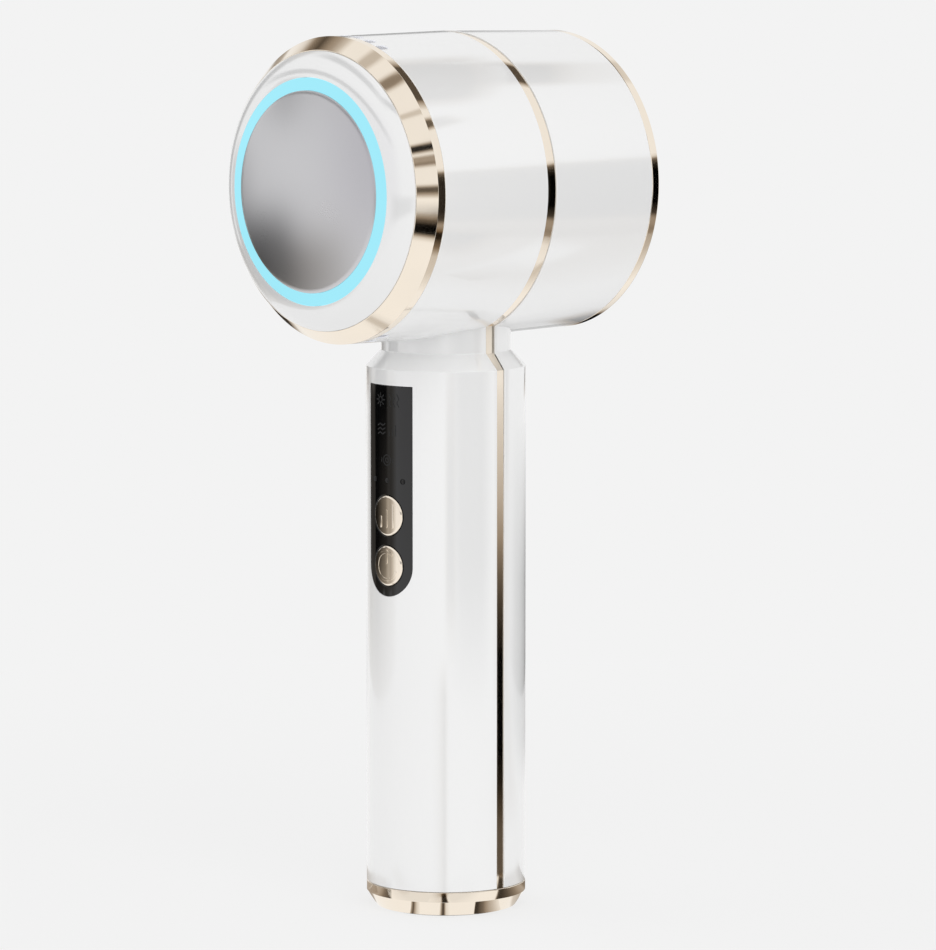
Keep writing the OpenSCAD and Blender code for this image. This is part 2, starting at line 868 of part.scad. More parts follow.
module motor_shaft() {
    color(steel)
        rod_y(0, head_z, motor_front + 2.5, weight_rear, shaft_r);
}

// Half a disc, heavy side down, bored for the shaft
module eccentric_weight() {
    color(grey)
        difference() {
            union() {
                intersection() {
                    rod_y(0, head_z, weight_front, weight_rear, weight_r);
                    block([-weight_r, weight_front, head_z - weight_r],
                        [weight_r, weight_rear, head_z]);
                }
                rod_y(0, head_z, weight_front, weight_rear, shaft_r + 1);
            }
            rod_y(0, head_z, weight_front - 1, weight_rear + 1, shaft_r);
        }
}

module head_screws() {
    color(steel)
        for (a = post_angles)
            screw_y(post_ring_r * sin(a), head_z + post_ring_r * cos(a), bracket_rear,
                bracket_rear + head_screw_bite, head_screw_r, 1, head_screw_head_r,
                head_screw_head_h);
}

module rear_ring() {
    color(gold)
        drum_turned([
            [cap_r - cap_lip, cap_seat - 1], [cap_r, cap_seat - 1],
            [cap_r, rear_front - spigot_len], [spigot_r, rear_front - spigot_len],
            [spigot_r, rear_front], [end_r - edge_break, rear_front],
            [end_r, rear_front + edge_break], [end_r, rear_end - edge_break],
            [end_r - edge_break, rear_end], [cap_r + edge_break, rear_end],
            [cap_r, rear_end - edge_break], [cap_r, cap_seat], [cap_r - cap_lip, cap_seat]]);
}

module rear_cap() {
    plug_r = cap_r - cap_lip - joint_gap;
    face_r = cap_r - joint_gap;
    face = rear_end - cap_inset;
    color(white)
        drum_turned([
            [0, cap_seat], [plug_r - cap_plug_t, cap_seat], [plug_r - cap_plug_t, cap_seat - 2],
            [plug_r, cap_seat - 2], [plug_r, cap_seat], [face_r, cap_seat],
            [face_r, face - edge_break], [face_r - edge_break, face], [0, face]]);
}

// Flat ribbon with a plug at each end, from the main board up the neck to the driver board
module head_cable() {
    half = ribbon_w / 2;
    low = board_top - 1.5 * plug_h;
    high = head_z - head_r * 0.62;
    ribbon_y = board_rear + plug_t / 2;
    color("lightgrey") {
        block([-half, board_rear, low], [half, board_rear + plug_t, low + plug_h]);
        block([-half, ribbon_y, low + plug_h / 2], [half, ribbon_y + ribbon_t, high]);
        block([-half, driver_rear + plug_t / 2, high - ribbon_t],
            [half, ribbon_y + ribbon_t, high]);
        block([-half, driver_rear, high - plug_h / 2],
            [half, driver_rear + plug_t, high + plug_h / 2]);
    }
}

// ---------- Control panel ----------

module control_panel() {
    color(black)
        difference() {
            intersection() {
                panel_prism(0);
                handle_ring(panel_in_r, handle_r);
            }
            for (z = [power_z, mode_z])
                rod_y(0, z, -handle_r - 1, 0, button_hole_r);
            for (x = indicator_xs)
                rod_y(x, indicator_z, -handle_r - 1, 0, indicator_d / 2 + joint_gap);
        }
}

// Box that keeps the light of each symbol apart
module symbol_light_frame() {
    low = window_levels[0] - window_h / 2 - 0.8;
    high = window_levels[2] + window_h / 2 + 0.8;
    color(white)
        difference() {
            block([-frame_half, frame_front, low], [frame_half, board_front, high]);
            for (z = window_levels)
                block([-window_w / 2, frame_front - 1, z - window_h / 2],
                    [window_w / 2, board_front + 1, z + window_h / 2]);
        }
}

module symbol_leds() {
    color("lightyellow")
        for (z = window_levels, x = [-2, 2])
            block([x - 0.8, board_front - 0.6, z - 0.4], [x + 0.8, board_front, z + 0.4]);
}

module indicator_pipes() {
    color(white)
        for (x = indicator_xs)
            intersection() {
                rod_y(x, indicator_z, -handle_r, board_front - led_h - 0.1, indicator_d / 2);
                cylinder(r = handle_r, h = 2 * through);
            }
}

module indicator_leds() {
    color("lightyellow")
        for (x = indicator_xs)
            block([x - 0.5, board_front - led_h, indicator_z - 0.5],
                [x + 0.5, board_front, indicator_z + 0.5]);
}

module main_board() {
    color(green)
        difference() {
            block([-board_half, board_front, board_z], [board_half, board_rear, board_top]);
            for (x = [-board_screw_x, board_screw_x], z = board_screw_zs)
                rod_y(x, z, board_front - 1, board_rear + 1, small_screw_r + shank_gap);
        }
}

module board_chips() {
    color(black)
        for (p = [[-0.42, mode_z - 5, 0.6], [0.4, mode_z - 5, 0.45], [0.15, mode_z + 3.5, 0.6],
            [-0.4, power_z, 0.7]])
            chip_y(p[0] * board_half, p[1], board_rear, p[2] * chip_w);
}

module buzzer() {
    color(black)
        rod_y(buzzer_x, board_top - buzzer_drop, board_rear, chassis_front - 0.1, buzzer_r);
}

// Push switch with a blind hole for its stem
module switch_body(z) {
    color(grey)
        difference() {
            block([-switch_w / 2, switch_front, z - switch_w / 2],
                [switch_w / 2, board_front, z + switch_w / 2]);
            rod_y(0, z, switch_front - 1, switch_front + stem_depth + button_travel + 0.2,
                stem_r + stem_gap);
        }
}

module mode_switch() {
    switch_body(mode_z);
}

module power_switch() {
    switch_body(power_z);
}

// Button with a face that follows the handle, and a flange that keeps it in
module button_body(z) {
    color(gold)
        intersection() {
            union() {
                rod_y(0, z, -handle_r - 1, flange_rear, button_r);
                rod_y(0, z, flange_front, flange_rear, flange_r);
            }
            translate([0, 0, z - through / 2])
                cylinder(r = handle_r + button_rise, h = through);
        }
}

module stem(z) {
    color(black)
        rod_y(0, z, flange_rear, switch_front + stem_depth, stem_r);
}

module mode_button() {
    button_body(mode_z);
}

module power_button() {
    button_body(power_z);
}

module mode_stem() {
    stem(mode_z);
}

module power_stem() {
    stem(power_z);
}

module board_screws() {
    color(steel)
        for (x = [-board_screw_x, board_screw_x], z = board_screw_zs)
            screw_y(x, z, board_front, board_t + board_screw_bite, small_screw_r, -1,
                small_head_r, small_head_h);
}

// ---------- Handle ----------

// Board plate above, battery cradle below, one moulding
module chassis() {
    plate_half = chassis_screw_x + boss_r;
    color(grey)
        difference() {
            union() {
                intersection() {
                    block([-plate_half, chassis_front, cradle_high],
                        [plate_half, chassis_rear, board_top]);
                    cylinder(r = handle_in_r - 0.3, h = 2 * through);
                }
                for (x = [-board_screw_x, board_screw_x], z = board_screw_zs)
                    rod_y(x, z, board_rear, chassis_rear, small_screw_r + 0.9);
                // cradle, open to the rear
                translate([0, 0, cradle_low - cradle_t])
                    difference() {
                        cylinder(r = cradle_r, h = cradle_high - cradle_low + 2 * cradle_t);
                        translate([0, 0, cradle_t])
                            cylinder(r = cradle_in_r, h = cradle_high - cradle_low);
                        translate([-cradle_r, cradle_in_r * 0.3, cradle_t])
                            cube([2 * cradle_r, cradle_r, cradle_high - cradle_low]);
                    }
                for (x = [-base_screw_x, base_screw_x])
                    translate([x, 0, charge_top])
                        cylinder(r = base_post_r, h = cradle_low - charge_top);
            }
            for (x = [-board_screw_x, board_screw_x], z = board_screw_zs)
                rod_y(x, z, board_rear - 1, chassis_rear + 1, small_screw_r + thread_gap);
            at_chassis_screws()
                rod_y(0, 0, chassis_front - 1, chassis_rear + 1, small_screw_r + shank_gap);
            for (x = [-base_screw_x, base_screw_x])
                translate([x, 0, charge_top - 1])
                    cylinder(r = small_screw_r + thread_gap, h = cradle_low - charge_top);
        }
}

module chassis_screws() {
    color(steel)
        at_chassis_screws()
            screw_y(0, 0, chassis_rear, chassis_t + chassis_screw_bite, small_screw_r, 1,
                small_head_r, small_head_h);
}

module battery_cell() {
    color("steelblue")
        translate([0, 0, battery_z])
            cylinder(r = battery_r, h = battery_len);
}

module battery_tabs() {
    color(steel)
        for (z = [battery_z - tab_t, battery_top])
            translate([0, 0, z])
                cylinder(r = battery_r * 0.45, h = tab_t);
}

// ---------- Base ----------

module charge_board() {
    color(green)
        difference() {
            translate([0, 0, charge_z])
                cylinder(r = charge_r, h = board_t);
            for (x = [-base_screw_x, base_screw_x])
                translate([x, 0, charge_z - 1])
                    cylinder(r = small_screw_r + shank_gap, h = board_t + 2);
        }
}

module charge_chips() {
    color(black)
        for (p = [[-0.2, -0.4, 0.6], [0.25, -0.4, 0.4]])
            translate([p[0] * charge_r, p[1] * charge_r, charge_z - chip_t / 2])
                cube([p[2] * chip_w, p[2] * chip_w, chip_t], center = true);
}

module usb_socket() {
    color(steel)
        difference() {
            socket_outline(0, socket_low, charge_z);
            socket_outline(-0.3, socket_low - 1, charge_z - 1);
        }
}

module usb_tongue() {
    color(black)
        block([-socket_w * 0.37, socket_y - 0.35, socket_low + 0.5],
            [socket_w * 0.37, socket_y + 0.35, charge_z - 1]);
}

module base_cap() {
    cone_r = handle_r - base_chamfer_w;
    spigot_in_r = base_spigot_r - spigot_t;
    color(gold)
        difference() {
            union() {
                rotate_extrude()
                    polygon([
                        [0, pad_proud], [cone_r, pad_proud],
                        [handle_r, pad_proud + base_chamfer_h], [handle_r, base_top - edge_break],
                        [handle_r - edge_break, base_top - joint_gap],
                        [base_spigot_r, base_top - joint_gap], [base_spigot_r, base_spigot_top],
                        [spigot_in_r, base_spigot_top], [spigot_in_r, base_floor_top],
                        [0, base_floor_top]]);
                for (x = [-base_screw_x, base_screw_x])
                    translate([x, 0, base_floor_top - eps])
                        cylinder(r = base_post_r, h = charge_z - base_floor_top + eps);
            }
            // seat of the pad
            translate([0, 0, -1])
                cylinder(r = pad_r + joint_gap, h = pad_top + 1);
            socket_outline(0.15, 0, base_floor_top + 1);
            for (x = [-base_screw_x, base_screw_x]) {
                translate([x, 0, 0])
                    cylinder(r = small_screw_r + shank_gap, h = charge_z + 1);
                translate([x, 0, 0])
                    cylinder(r = small_head_r + shank_gap, h = pad_top + small_head_h);
            }
        }
}

module base_pad() {
    color(grey)
        difference() {
            cylinder(r = pad_r, h = pad_top);
            socket_outline(0.6, -1, pad_top + 1);
        }
}

module base_screws() {
    color(steel)
        for (x = [-base_screw_x, base_screw_x])
            translate([x, 0, pad_top])
                difference() {
                    union() {
                        cylinder(r = small_head_r, h = small_head_h);
                        cylinder(r = small_screw_r, h = cradle_low - 1.2 - pad_top);
                    }
                    cube([small_head_r * 2.4, small_head_r * 0.5, small_head_h], center = true);
                }
}

front_shell();
rear_shell();
trim_frame();
front_bezel();
nose_ring();
light_ring();
treatment_plate();
plate_seal();
plate_carrier();
carrier_screws();
led_ring_board();
ring_leds();
coupling_disc();
ultrasonic_transducer();
transducer_leads();
temperature_sensor();
driver_board();
driver_transformer();
driver_capacitors();
driver_chips();
driver_screws();
motor_bracket();
vibration_motor();
motor_leads();
motor_shaft();
eccentric_weight();
head_screws();
rear_ring();
rear_cap();
head_cable();
control_panel();
symbol_light_frame();
symbol_leds();
indicator_pipes();
indicator_leds();
main_board();
board_chips();
buzzer();
mode_switch();
power_switch();
mode_button();
mode_stem();
power_button();
power_stem();
board_screws();
chassis();
chassis_screws();
battery_cell();
battery_tabs();
charge_board();
charge_chips();
usb_socket();
usb_tongue();
base_cap();
base_pad();
base_screws();
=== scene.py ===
"""Hand-held facial toning device: its visible pieces, finishes, light and camera.

The axes are the frame's: +Z up the handle, the treatment face looks along -Y. Blender works in
metres, and every size here is written in millimetres and multiplied by MM.
"""

import math

import bpy
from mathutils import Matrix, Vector


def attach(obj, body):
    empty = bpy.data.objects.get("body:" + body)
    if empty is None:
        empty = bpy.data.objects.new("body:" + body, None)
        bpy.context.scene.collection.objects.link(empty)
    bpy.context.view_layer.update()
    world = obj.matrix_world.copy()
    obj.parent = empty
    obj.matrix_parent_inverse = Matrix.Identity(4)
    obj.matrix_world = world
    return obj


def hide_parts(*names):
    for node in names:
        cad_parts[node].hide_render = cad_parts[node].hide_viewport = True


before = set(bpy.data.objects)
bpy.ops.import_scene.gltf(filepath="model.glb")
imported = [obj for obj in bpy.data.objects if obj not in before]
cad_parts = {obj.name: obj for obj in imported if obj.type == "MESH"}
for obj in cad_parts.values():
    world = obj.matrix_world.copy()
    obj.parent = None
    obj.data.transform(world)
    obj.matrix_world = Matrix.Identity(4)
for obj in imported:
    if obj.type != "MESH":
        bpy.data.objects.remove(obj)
bpy.context.view_layer.update()

# ---------- Camera ----------
# A long lens a little over a metre away, slightly above the head, looking at the right-hand side
# of the device from the front.
bpy.ops.object.camera_add(
    location=(0.820355, -0.767964, 0.220723),
    rotation=(math.radians(90 - 6.504), 0, math.radians(46.6488)),
)
camera = bpy.context.object
camera.name = "camera"
camera.data.lens = 201.2675
camera.data.sensor_width = 36
bpy.context.scene.camera = camera

# ---------- Front shell ----------
# One moulding of glossy white plastic: the front half of drum, neck and handle. It carries the
# sunk seat of the control panel and the air slots behind the bezel, and takes the long screws.
MM = 0.001
HEAD_Z = 154.5
HEAD_R = 32.5
DRAFT = 0.5
BARREL_HALF = 29.85
HANDLE_R = 17
NECK_R = 13.85
SHELL_LOW = 5.6
SHOULDER_Z = 116.2
NECK_Z = 119.6
NECK_TOP = 128.5
WALL = 2
GAP = 0.05
STRIP_HALF = 1.0
RING_HALF = 1.2
DRUM_STEPS = 384
HANDLE_STEPS = 240
POST_ANGLES = (45, 135, 225, 315)
POST_RING_R = 27.35
POST_R = 3.35
POST_REAR = -22
LONG_SCREW_R = 1.65
LONG_THREAD_R = 1.52
SMALL_THREAD_R = 1.02
BOSS_REAR = -6.64
POWER_Z = 74.65
MODE_Z = 85.3
BUTTON_HOLE_R = 4.4
INDICATOR_Z = 92.8
INDICATOR_XS = (-4.3, 0, 4.3)
PIPE_HOLE_R = 0.6
WINDOW_ZS = (97.1, 103.45, 109.8)
WINDOW_HALF_W = 4.2
WINDOW_HALF_H = 1.6
PANEL_HALF = 6.5
PANEL_TOP = 112.9
PANEL_T = 1.2
CUT_FRONT = -19
CUT_REAR = -7
SKIN_BAND = (50, 130)
CORE_BAND = (40, 140)
SLAB_LOW = -5
SLAB_HIGH = 200
SLAB_FAR = 60
SLAB_HALVES = ((SLAB_LOW, STRIP_HALF), (SHOULDER_Z, STRIP_HALF), (NECK_Z, RING_HALF),
               (SLAB_HIGH, RING_HALF))


def barrel_r(y):
    """The drum's outer radius, which falls a little from its middle to its ends."""
    return HEAD_R - DRAFT * abs(y) / BARREL_HALF


def only(piece):
    """Nothing but this piece is selected, and it is the active one."""
    bpy.ops.object.select_all(action="DESELECT")
    piece.select_set(True)
    bpy.context.view_layer.objects.active = piece
    return piece


def arc_points(centre, radius, one, two, steps):
    """Points round a centre, from the direction of one vector to that of the other."""
    start = math.atan2(one.y, one.x)
    turn = math.atan2(one.x * two.y - one.y * two.x, one.dot(two))
    angles = [start + turn * i / steps for i in range(steps + 1)]
    return [(centre.x + radius * math.cos(a), centre.y + radius * math.sin(a)) for a in angles]


def rounded(points, steps=4):
    """A closed outline whose points with a third value are rounded to that radius."""
    outline = []
    for i, p in enumerate(points):
        if len(p) < 3:
            outline.append(p)
            continue
        corner, radius = Vector(p[:2]), p[2]
        one = (Vector(points[i - 1][:2]) - corner).normalized()
        two = (Vector(points[(i + 1) % len(points)][:2]) - corner).normalized()
        half = one.angle(two) / 2
        centre = corner + (one + two).normalized() * (radius / math.sin(half))
        enter = corner + one * (radius / math.tan(half)) - centre
        leave = corner + two * (radius / math.tan(half)) - centre
        outline += arc_points(centre, radius, enter, leave, steps)
    return outline


def drawn(name, points, closed=True):
    """An outline of straight edges, extruded from one vertex to the next. Points in millimetres."""
    bpy.ops.object.select_all(action="DESELECT")
    bpy.ops.mesh.primitive_plane_add(size=MM)
    piece = bpy.context.object
    piece.name = name
    bpy.ops.object.mode_set(mode="EDIT")
    bpy.ops.mesh.merge(type="CENTER")
    here = Vector((0, 0, 0))
    for i, p in enumerate(points + points[:1] if closed else points):
        there = Vector(p) * MM
        if i == 0:
            bpy.ops.transform.translate(value=there)
        else:
            bpy.ops.mesh.extrude_vertices_move(TRANSFORM_OT_translate={"value": there - here})
        here = there
    bpy.ops.mesh.select_all(action="SELECT")
    bpy.ops.mesh.remove_doubles(threshold=1e-7)
    return piece


def closed_up():
    """Joins doubled points of the piece in hand, turns its faces outwards and leaves it."""
    bpy.ops.mesh.select_all(action="SELECT")
    bpy.ops.mesh.remove_doubles(threshold=1e-7)
    bpy.ops.mesh.normals_make_consistent(inside=False)
    bpy.ops.object.mode_set(mode="OBJECT")


def turned(name, outline, axis="Y", at=(0, 0, HEAD_Z), steps=DRUM_STEPS):
    """A piece turned on a lathe: an outline of (radius, place along the axis) spun all round.
    An outline that starts and ends on the axis makes a solid, and any other a ring."""
    solid = outline[0][0] == 0 and outline[-1][0] == 0
    if axis == "Y":
        points = [(at[0], y, at[2] + r) for r, y in outline]
        direction = (0, 1, 0)
    else:
        points = [(at[0] + r, at[1], z) for r, z in outline]
        direction = (0, 0, 1)
    piece = drawn(name, points, closed=not solid)
    bpy.ops.mesh.spin(steps=steps, angle=2 * math.pi, center=Vector(at) * MM, axis=direction)
    closed_up()
    return piece


def prism(name, outline, axis, low, high):
    """An outline filled and extruded along an axis. The outline gives the other two
    coordinates in the order x, y, z."""
    place = {"X": 0, "Y": 1, "Z": 2}[axis]

    def spot(p, w):
        p = list(p)
        p.insert(place, w)
        return tuple(p)

    piece = drawn(name, [spot(p, low) for p in outline])
    bpy.ops.mesh.edge_face_add()
    bpy.ops.mesh.extrude_region_move(
        TRANSFORM_OT_translate={"value": Vector(spot((0, 0), (high - low) * MM))}
    )
    closed_up()
    return piece


def combined(piece, tool, how="DIFFERENCE"):
    """One boolean step; the tool is used up."""
    only(piece)
    bpy.ops.object.modifier_add(type="BOOLEAN")
    step = piece.modifiers[-1]
    step.object = tool
    step.operation = how
    step.solver = "MANIFOLD"
    bpy.ops.object.modifier_apply(modifier=step.name)
    bpy.data.objects.remove(tool)
    return piece


def merged(name, parts):
    """Several loose shapes made one object."""
    bpy.ops.object.select_all(action="DESELECT")
    for part in parts:
        part.select_set(True)
    bpy.context.view_layer.objects.active = parts[0]
    bpy.ops.object.join()
    parts[0].name = name
    return parts[0]


def eased(piece, width, wanted, segments=3):
    """Rounds the edges that wanted(one end, other end) picks. Ends in millimetres."""
    only(piece)
    bpy.ops.object.mode_set(mode="EDIT")
    bpy.ops.mesh.select_mode(type="EDGE")
    bpy.ops.mesh.select_all(action="DESELECT")
    bpy.ops.object.mode_set(mode="OBJECT")
    ends = [v.co / MM for v in piece.data.vertices]
    for edge in piece.data.edges:
        edge.select = wanted(ends[edge.vertices[0]], ends[edge.vertices[1]])
    bpy.ops.object.mode_set(mode="EDIT")
    bpy.ops.mesh.bevel(offset=width * MM, segments=segments, affect="EDGES", clamp_overlap=False)
    bpy.ops.mesh.select_mode(type="VERT")
    bpy.ops.object.mode_set(mode="OBJECT")
    return piece


def done(piece, material, body, slot, *nodes, angle=30):
    """Smooths the piece, gives it its finish and fixes it to its body."""
    only(piece)
    bpy.ops.object.shade_smooth_by_angle(angle=math.radians(angle))
    bpy.ops.object.modifier_add(type="WEIGHTED_NORMAL")
    piece.modifiers[-1].keep_sharp = True
    bpy.ops.object.modifier_apply(modifier=piece.modifiers[-1].name)
    piece.data.materials.clear()
    piece.data.materials.append(material)
    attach(piece, body)
    if nodes:
        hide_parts(*nodes)
    return piece


def rod_y(name, x, z, y0, y1, r, steps):
    """A rod along Y."""
    return turned(name, [(0, y0), (r, y0), (r, y1), (0, y1)], "Y", (x, 0, z), steps)


def post_xz(angle):
    """The place of a screw post in the drum, by its angle from the top."""
    a = math.radians(angle)
    return POST_RING_R * math.sin(a), HEAD_Z + POST_RING_R * math.cos(a)


def slab_half(z):
    """Half the width of the slot that the metal trim fills, at one height."""
    if z <= SHOULDER_Z:
        return STRIP_HALF
    if z >= NECK_Z:
        return RING_HALF
    return STRIP_HALF + (RING_HALF - STRIP_HALF) * (z - SHOULDER_Z) / (NECK_Z - SHOULDER_Z)


def column(name, depth, low, top, corner=0):
    """Handle, shoulder and neck as one turned solid, moved inwards by depth."""
    outline = [
        (0, low),
        (HANDLE_R - depth, low, corner / 2),
        (HANDLE_R - depth, SHOULDER_Z - depth * 0.4, corner),
        (NECK_R - depth, NECK_Z - depth * 0.4, corner * 1.5),
        (NECK_R - depth, top),
        (0, top),
    ]
    outline = rounded(outline) if corner else [p[:2] for p in outline]
    return turned(name, outline, "Z", (0, 0, 0), HANDLE_STEPS)


def across_slab(name, side, grow):
    """A block from one face of the trim's slot to far beyond the other, to cut with."""
    face = [(side * (half + grow), z) for z, half in SLAB_HALVES]
    back = [(-SLAB_FAR * side, SLAB_HIGH), (-SLAB_FAR * side, SLAB_LOW)]
    return prism(name, face + back, "X", -SLAB_FAR, SLAB_FAR)


def on_slab(side, grow, outer):
    """Picks the long edges where a face of the slot meets the outer surface."""

    def wanted(a, b):
        for p in (a, b):
            if abs(p.y - side * (slab_half(p.z) + grow)) > 0.02:
                return False
            if math.hypot(p.x, p.y) < outer(p.z) - 0.05:
                return False
        return abs(a.z - b.z) > 0.01

    return wanted


def column_r(depth):
    """The outer radius of handle, shoulder and neck at one height, roundings left out."""

    def radius(z):
        if z < SHOULDER_Z - 1:
            return HANDLE_R - depth
        return NECK_R - depth - 0.6

    return radius


def half_shell(name, side):
    """Front (-1) or rear (1) half of the shell: handle and drum joined, then hollowed."""
    shell = column(name, 0, SHELL_LOW, NECK_TOP, 0.3)
    shell = combined(shell, across_slab("slab", side, GAP))
    shell = eased(shell, 0.12, on_slab(side, GAP, column_r(0)))
    face = side * (RING_HALF + GAP)
    end = side * BARREL_HALF
    rings = [face + (end - face) * i / 6 for i in range(1, 6)]
    drum = turned(
        "drum",
        rounded(
            [(0, face), (barrel_r(face), face, 0.12)]
            + [(barrel_r(y), y) for y in rings]
            + [(barrel_r(end), end, 0.12), (0, end)]
        ),
    )
    shell = combined(shell, drum, "UNION")
    shell = combined(shell, column("hollow", WALL, SHELL_LOW - 1, NECK_TOP + 3))
    hollow = turned(
        "hollow",
        [(0, -side), (HEAD_R - WALL, -side), (HEAD_R - WALL, 0),
         (barrel_r(end) - WALL, end + side), (0, end + side)],
    )
    return combined(shell, hollow)


def tubes(piece, spots, y0, y1, r, how, steps=48):
    """Rods along Y at several places, added to the piece or bored out of it."""
    rods = [rod_y("rod", x, z, y0, y1, r, steps) for x, z in spots]
    return combined(piece, merged("rods", rods), how)


def panel_outline(grow, steps=48):
    """Square at the top, half round at the bottom, in x and z."""
    r = PANEL_HALF + grow
    turns = [math.pi * (1 + i / steps) for i in range(steps + 1)]
    arc = [(r * math.cos(a), POWER_Z + r * math.sin(a)) for a in turns]
    return arc + [(r, PANEL_TOP + grow), (-r, PANEL_TOP + grow)]


def cylinder_z(name, r, low, high):
    """A solid round the handle's axis."""
    return turned(name, [(0, low), (r, low), (r, high), (0, high)], "Z", (0, 0, 0), HANDLE_STEPS)


def turned_about_drum(piece, degrees):
    """Turns the whole piece about the drum's axis."""
    only(piece)
    bpy.ops.object.mode_set(mode="EDIT")
    bpy.ops.mesh.select_all(action="SELECT")
    bpy.ops.transform.rotate(
        value=math.radians(degrees), orient_axis="Y", center_override=(0, 0, HEAD_Z * MM)
    )
    bpy.ops.object.mode_set(mode="OBJECT")
    return piece


def air_slot():
    """One slot with a round end and an eased rim, at the top of the drum."""
    half = SLOT_W / 2
    end = -BARREL_HALF + SLOT_LEN - half
    arc = [math.pi * i / 12 for i in range(13)]
    outline = [(half * math.cos(a), end + half * math.sin(a)) for a in arc]
    outline += [(-half, -BARREL_HALF - 1), (half, -BARREL_HALF - 1)]
    low, rim = HEAD_Z + 28.5, HEAD_Z + 31.85
    slot = prism("slot", outline, "Z", low, rim)
    only(slot)
    bpy.ops.object.mode_set(mode="EDIT")
    bpy.ops.mesh.select_all(action="DESELECT")
    bpy.ops.mesh.select_mode(type="FACE")
    bpy.ops.object.mode_set(mode="OBJECT")
    for face in slot.data.polygons:
        face.select = face.center.z > (rim - 0.01) * MM
    bpy.ops.object.mode_set(mode="EDIT")
    bpy.ops.mesh.extrude_region_move(TRANSFORM_OT_translate={"value": (0, 0, 0.4 * MM)})
    bpy.ops.transform.resize(
        value=(1.5, 1.15, 1), center_override=(0, -BARREL_HALF * MM, rim * MM)
    )
    bpy.ops.mesh.select_mode(type="VERT")
    bpy.ops.object.mode_set(mode="OBJECT")
    return slot


SLOT_W = 1.9
SLOT_LEN = 2.45
SLOT_PITCH = 7
SLOT_COUNT = 7
POST_SPOTS = [post_xz(a) for a in POST_ANGLES]
BOSS_SPOTS = [(x, z) for x in (-10.9, 10.9) for z in (71.4, 107.9)]
BUTTON_SPOTS = [(0, POWER_Z), (0, MODE_Z)]
PIPE_SPOTS = [(x, INDICATOR_Z) for x in INDICATOR_XS]

front = half_shell("shell_front", -1)
seat_floor = prism("seat_floor", panel_outline(0.9), "Y", -HANDLE_R, -8)
seat_floor = combined(seat_floor, cylinder_z("skin", HANDLE_R - 0.3, *SKIN_BAND), "INTERSECT")
seat_floor = combined(seat_floor, cylinder_z("core", HANDLE_R - 2.4, *CORE_BAND))
front = combined(front, seat_floor, "UNION")
front = tubes(front, POST_SPOTS, POST_REAR, -RING_HALF - GAP, POST_R, "UNION")
bosses = merged("bosses", [rod_y("boss", x, z, -HANDLE_R, BOSS_REAR, 2, 48) for x, z in BOSS_SPOTS])
bosses = combined(bosses, cylinder_z("skin", HANDLE_R - 0.5, *SKIN_BAND), "INTERSECT")
front = combined(front, bosses, "UNION")
pocket = prism("pocket", panel_outline(GAP), "Y", -HANDLE_R - 2, -8)
pocket = combined(pocket, cylinder_z("core", HANDLE_R - PANEL_T - GAP, *CORE_BAND))
front = combined(front, pocket)
front = tubes(front, BUTTON_SPOTS, CUT_FRONT, CUT_REAR, BUTTON_HOLE_R, "DIFFERENCE", 96)
front = tubes(front, PIPE_SPOTS, CUT_FRONT, CUT_REAR, PIPE_HOLE_R, "DIFFERENCE", 32)
window = [(-WINDOW_HALF_W, CUT_FRONT), (WINDOW_HALF_W, CUT_FRONT), (WINDOW_HALF_W, CUT_REAR),
          (-WINDOW_HALF_W, CUT_REAR)]
windows = [prism("window", window, "Z", z - WINDOW_HALF_H, z + WINDOW_HALF_H) for z in WINDOW_ZS]
front = combined(front, merged("windows", windows))
slot_turns = [
    side + (i - (SLOT_COUNT - 1) / 2) * SLOT_PITCH for side in (0, 180) for i in range(SLOT_COUNT)
]
slots = [turned_about_drum(air_slot(), degrees) for degrees in slot_turns]
front = combined(front, merged("slots", slots))
front = tubes(front, POST_SPOTS, -12, 0, LONG_THREAD_R, "DIFFERENCE", 32)
front = tubes(front, POST_SPOTS, POST_REAR - 1, -16, SMALL_THREAD_R, "DIFFERENCE", 24)
front = tubes(front, BOSS_SPOTS, -10.1, -6, SMALL_THREAD_R, "DIFFERENCE", 24)


def node(tree, kind, inputs=None, **settings):
    """One shader node. An input that is itself a socket is linked, and any other is set."""
    made = tree.nodes.new("ShaderNode" + kind)
    for key, value in settings.items():
        setattr(made, key, value)
    for key, value in (inputs or {}).items():
        if isinstance(value, bpy.types.NodeSocket):
            tree.links.new(value, made.inputs[key])
        else:
            made.inputs[key].default_value = value
    return made


def math_node(tree, operation, a, b=0.0, clamp=False):
    """The result of one sum on two values."""
    return node(tree, "Math", {0: a, 1: b}, operation=operation, use_clamp=clamp).outputs[0]


def mixed(tree, factor, one, two):
    """A colour between two others."""
    return node(tree, "Mix", {0: factor, 6: one, 7: two}, data_type="RGBA").outputs[2]


def node_group(name, inputs, outputs):
    """An empty shader group with named sockets: its tree, its input node and its output node."""
    tree = bpy.data.node_groups.new(name, "ShaderNodeTree")
    for label, kind, value in inputs:
        socket = tree.interface.new_socket(label, in_out="INPUT", socket_type="NodeSocket" + kind)
        socket.default_value = value
    for label, kind in outputs:
        tree.interface.new_socket(label, in_out="OUTPUT", socket_type="NodeSocket" + kind)
    return tree, tree.nodes.new("NodeGroupInput"), tree.nodes.new("NodeGroupOutput")


